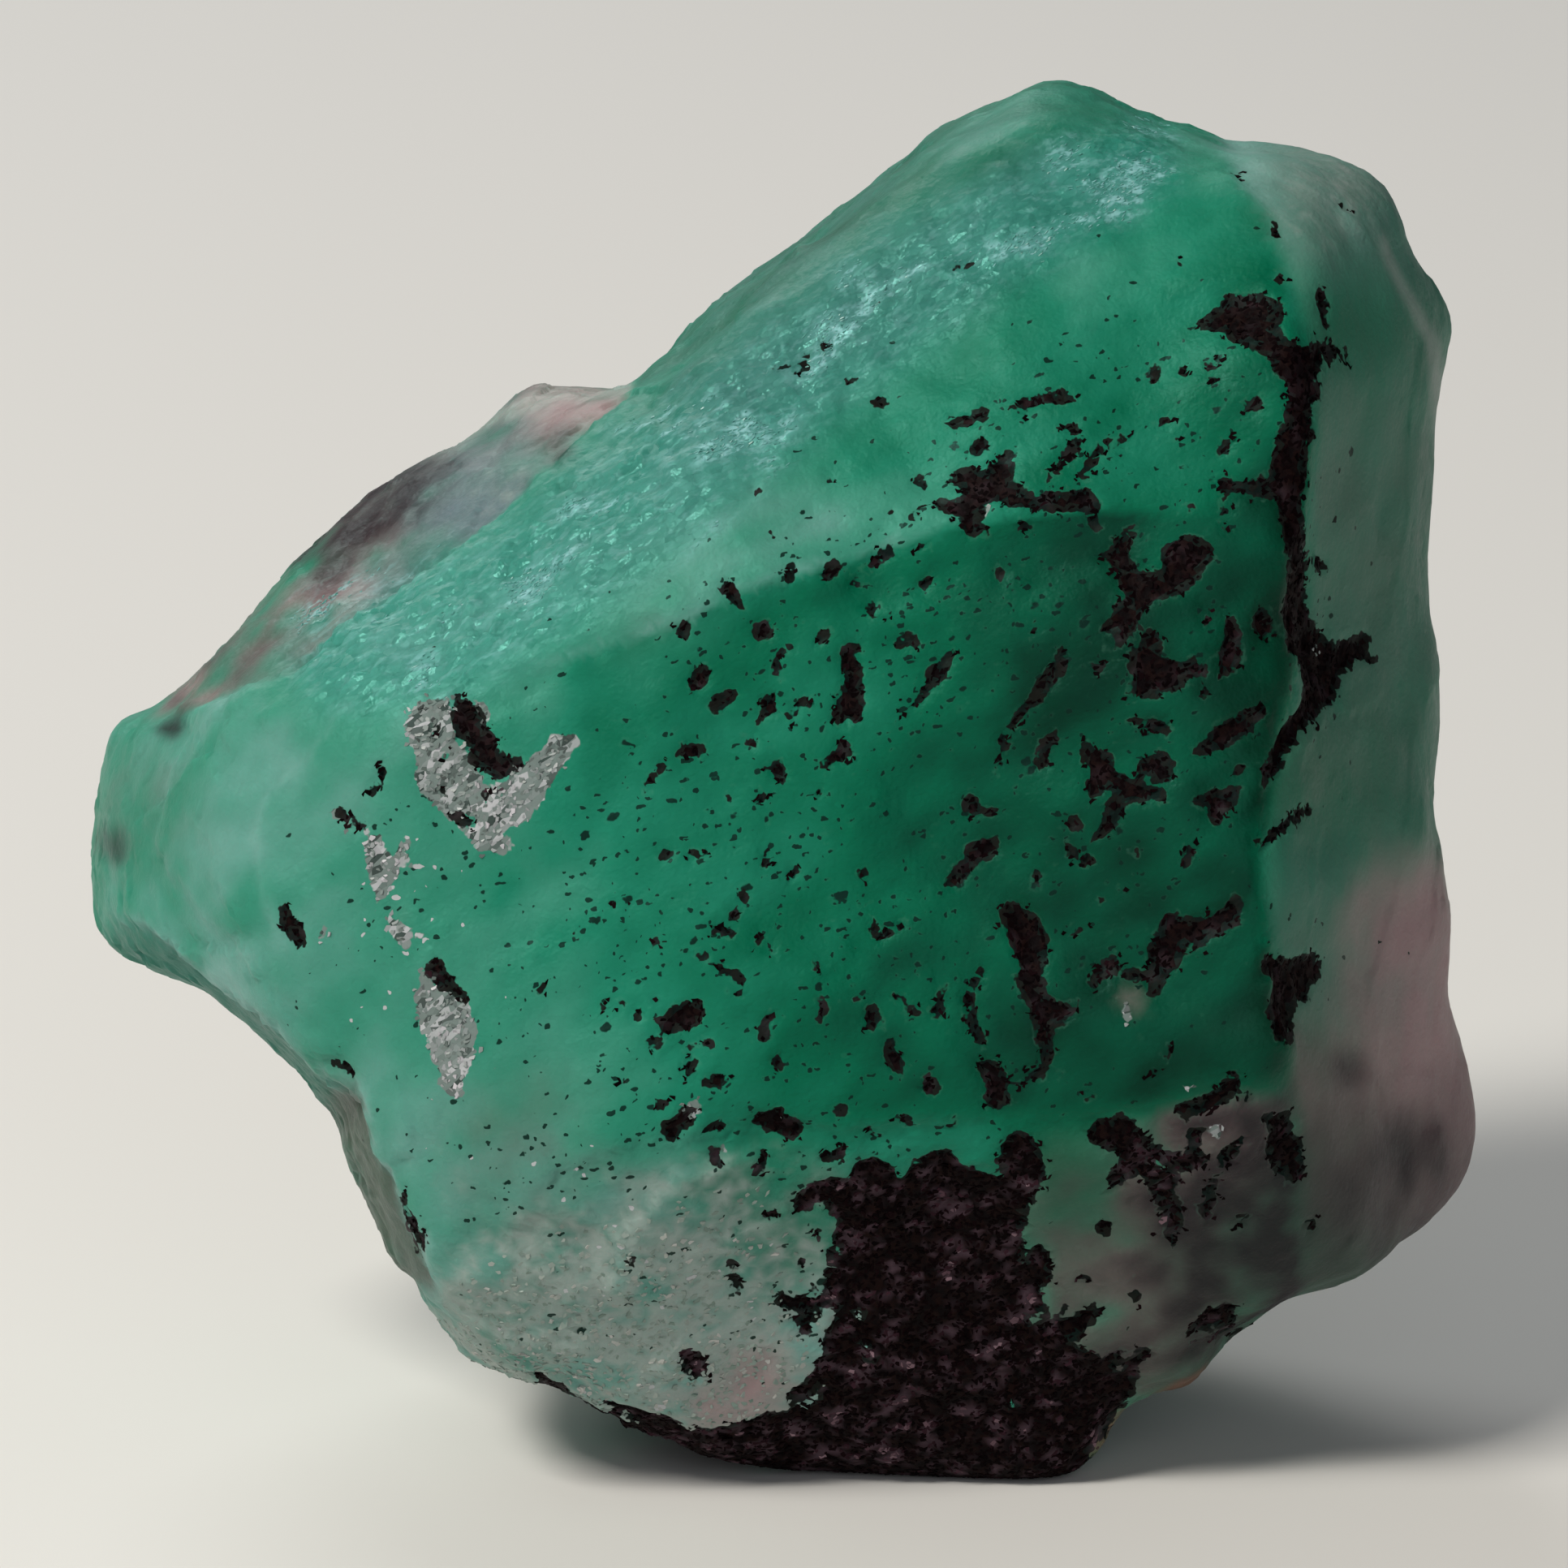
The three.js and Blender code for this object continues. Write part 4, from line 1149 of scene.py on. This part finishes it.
def scatterTree():
    tree = bpy.data.node_groups.new("plates_on_marks", "GeometryNodeTree")
    tree.interface.new_socket("Geometry", in_out="INPUT", socket_type="NodeSocketGeometry")
    for name, kind in {
        "mark": "String", "from": "Float", "to": "Float", "perSquareM": "Float", "radius": "Float",
        "thick": "Float", "tilt": "Float", "stretch": "Float", "sunk": "Float", "seed": "Int",
        "material": "Material",
    }.items():
        tree.interface.new_socket(name, in_out="INPUT", socket_type="NodeSocket" + kind)
    tree.interface.new_socket("Geometry", in_out="OUTPUT", socket_type="NodeSocketGeometry")
    given = tree.nodes.new("NodeGroupInput").outputs

    def add(kind, inputs=None, **settings):
        return addNode(tree, kind, inputs, **settings)

    def times(first, second):
        return add("ShaderNodeMath", {0: first, 1: second}, operation="MULTIPLY").outputs[0]

    def randomBetween(low, high, salt):
        seed = add("FunctionNodeIntegerMath", {0: given["seed"], 1: salt}, operation="ADD").outputs[0]
        between = {2: low, 3: high, "Seed": seed}
        return add("FunctionNodeRandomValue", between, data_type="FLOAT").outputs[1]

    mark = add("GeometryNodeInputNamedAttribute", {"Name": given["mark"]}, data_type="FLOAT").outputs[0]
    share = add("ShaderNodeMapRange", {0: mark, 1: given["from"], 2: given["to"]}).outputs[0]
    points = add("GeometryNodeDistributePointsOnFaces", {
        "Mesh": given["Geometry"], "Density": times(share, given["perSquareM"]), "Seed": given["seed"],
    })
    aligned = add("FunctionNodeAlignRotationToVector", {
        "Rotation": points.outputs["Rotation"],
        "Vector": (math.cos(streakLean), 0.0, math.sin(streakLean)),
    }, axis="X", pivot_axis="Z")
    negative = times(given["tilt"], -1.0)
    tilts = add("ShaderNodeCombineXYZ", {
        axis: randomBetween(negative, given["tilt"], salt) for axis, salt in ((0, 11), (1, 12), (2, 13))
    })
    leaning = add("FunctionNodeEulerToRotation", {0: tilts.outputs[0]}).outputs[0]
    turned = add("FunctionNodeRotateRotation", {
        "Rotation": aligned.outputs[0], "Rotate By": leaning,
    }, rotation_space="LOCAL")
    plate = add("GeometryNodeMeshCylinder", {
        "Vertices": 5, "Radius": given["radius"], "Depth": given["thick"],
    })
    size = randomBetween(0.45, 1.5, 14)
    scale = add("ShaderNodeCombineXYZ", {
        0: times(size, given["stretch"]), 1: randomBetween(0.5, 1.2, 15), 2: size,
    })
    placed = add("GeometryNodeInstanceOnPoints", {
        "Points": points.outputs["Points"], "Instance": plate.outputs["Mesh"],
        "Rotation": turned.outputs[0], "Scale": scale.outputs[0],
    })
    down = add("ShaderNodeCombineXYZ", {2: times(given["sunk"], -1.0)})
    sunk = add("GeometryNodeTranslateInstances", {
        "Instances": placed.outputs[0], "Translation": down.outputs[0],
    })
    shaded = add("GeometryNodeStoreNamedAttribute", {
        "Geometry": sunk.outputs[0], "Name": "shade", "Value": randomBetween(0.0, 1.0, 16),
    }, data_type="FLOAT", domain="INSTANCE")
    real = add("GeometryNodeRealizeInstances", {0: shaded.outputs[0]})
    coated = add("GeometryNodeSetMaterial", {
        "Geometry": real.outputs[0], "Material": given["material"],
    })
    add("NodeGroupOutput", {"Geometry": coated.outputs[0]})
    return tree


def plateMaterial(settings):
    # Each plate has one shade of its own, picked along a ramp, and the bright ones, which are painted
    # sheen and glints, come in clusters
    material, tree = emptyMaterial(settings["look"])
    shade = addNode(tree, "ShaderNodeAttribute", attribute_name="shade").outputs["Fac"]
    glint = addNode(tree, "ShaderNodeAttribute", attribute_name="glint").outputs["Fac"]
    glint = addNode(tree, "ShaderNodeMath", {0: glint, 1: 0.55}, operation="MULTIPLY").outputs[0]
    shade = addNode(tree, "ShaderNodeMath", {0: shade, 1: 0.45, 2: glint}, operation="MULTIPLY_ADD")
    ramp = addNode(tree, "ShaderNodeValToRGB", {0: shade.outputs[0]})
    while len(ramp.color_ramp.elements) < len(settings["steps"]):
        ramp.color_ramp.elements.new(0.5)
    for element, (position, step) in zip(ramp.color_ramp.elements, settings["steps"]):
        element.position, element.color = position, linear(step)
    shader = addNode(tree, "ShaderNodeBsdfPrincipled", {
        "Base Color": ramp.outputs[0], "Roughness": settings["roughness"], "IOR": settings["ior"],
        "Specular IOR Level": settings["specular"],
    })
    addNode(tree, "ShaderNodeOutputMaterial", {"Surface": shader.outputs[0]})
    return material


def scatter(name, tree, settings):
    host = bpy.data.objects.new(name + "_host", mesh)
    scene.collection.objects.link(host)
    modifier = host.modifiers.new("plates", "NODES")
    modifier.node_group = tree
    values = dict(settings, material=plateMaterial(settings))
    values["perSquareM"] = settings["perSquareMm"] * 1e6
    values["tilt"] = math.radians(settings["tilt"])
    for socket in tree.interface.items_tree:
        if socket.in_out == "INPUT" and socket.name in values:
            modifier[socket.identifier] = values[socket.name]
    evaluated = host.evaluated_get(bpy.context.evaluated_depsgraph_get())
    plates = bpy.data.objects.new(name, bpy.data.meshes.new_from_object(evaluated))
    plates.data.name = name
    placeVertices(plates.data, vertexPlaces(plates.data))
    bpy.data.objects.remove(host)
    scene.collection.objects.link(plates)
    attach(plates, "root")
    print(name, triangleCount(plates.data), "triangles")


plateTree = scatterTree()
for name, settings in scattered.items():
    scatter(name, plateTree, settings)

# Studio: a plain pale table and soft lights, the key from the upper left as in the picture
studio = {
    "floor": "#dcdbd7", "floorSize": 4, "floorRoughness": 0.85,
    "aim": (0, 0, 0.018),  # m, the heart of the stone
    "surroundings": "#e3e5e8", "surroundLight": 0.16,
    "key": {"place": (-0.26, -0.24, 0.40), "size": 0.14, "power": 2.6, "colour": "#fffaf2"},
    "fill": {"place": (0.10, -0.46, 0.16), "size": 0.40, "power": 0.5, "colour": "#f4f7ff"},
    "back": {"place": (-0.16, 0.34, 0.36), "size": 0.25, "power": 0.9, "colour": "#ffffff"},
}


def buildStudio():
    bpy.ops.mesh.primitive_plane_add(size=studio["floorSize"])
    floor = bpy.context.object
    floor.name = "floor"
    material = bpy.data.materials.new("matt_pale_table")
    material.use_nodes = True
    shader = material.node_tree.nodes["Principled BSDF"]
    shader.inputs["Base Color"].default_value = linear(studio["floor"])
    shader.inputs["Roughness"].default_value = studio["floorRoughness"]
    floor.data.materials.append(material)
    world = bpy.data.worlds.new("studio")
    scene.world = world
    world.use_nodes = True
    background = world.node_tree.nodes["Background"]
    background.inputs[0].default_value = linear(studio["surroundings"])
    background.inputs[1].default_value = studio["surroundLight"]
    aim = Vector(studio["aim"])
    for name in ("key", "fill", "back"):
        light = studio[name]
        lamp = bpy.data.lights.new(name, "AREA")
        lamp.size, lamp.energy, lamp.color = light["size"], light["power"], linear(light["colour"])[:3]
        holder = bpy.data.objects.new(name, lamp)
        holder.location = light["place"]
        holder.rotation_euler = (aim - holder.location).to_track_quat("-Z", "Y").to_euler()
        scene.collection.objects.link(holder)


buildStudio()
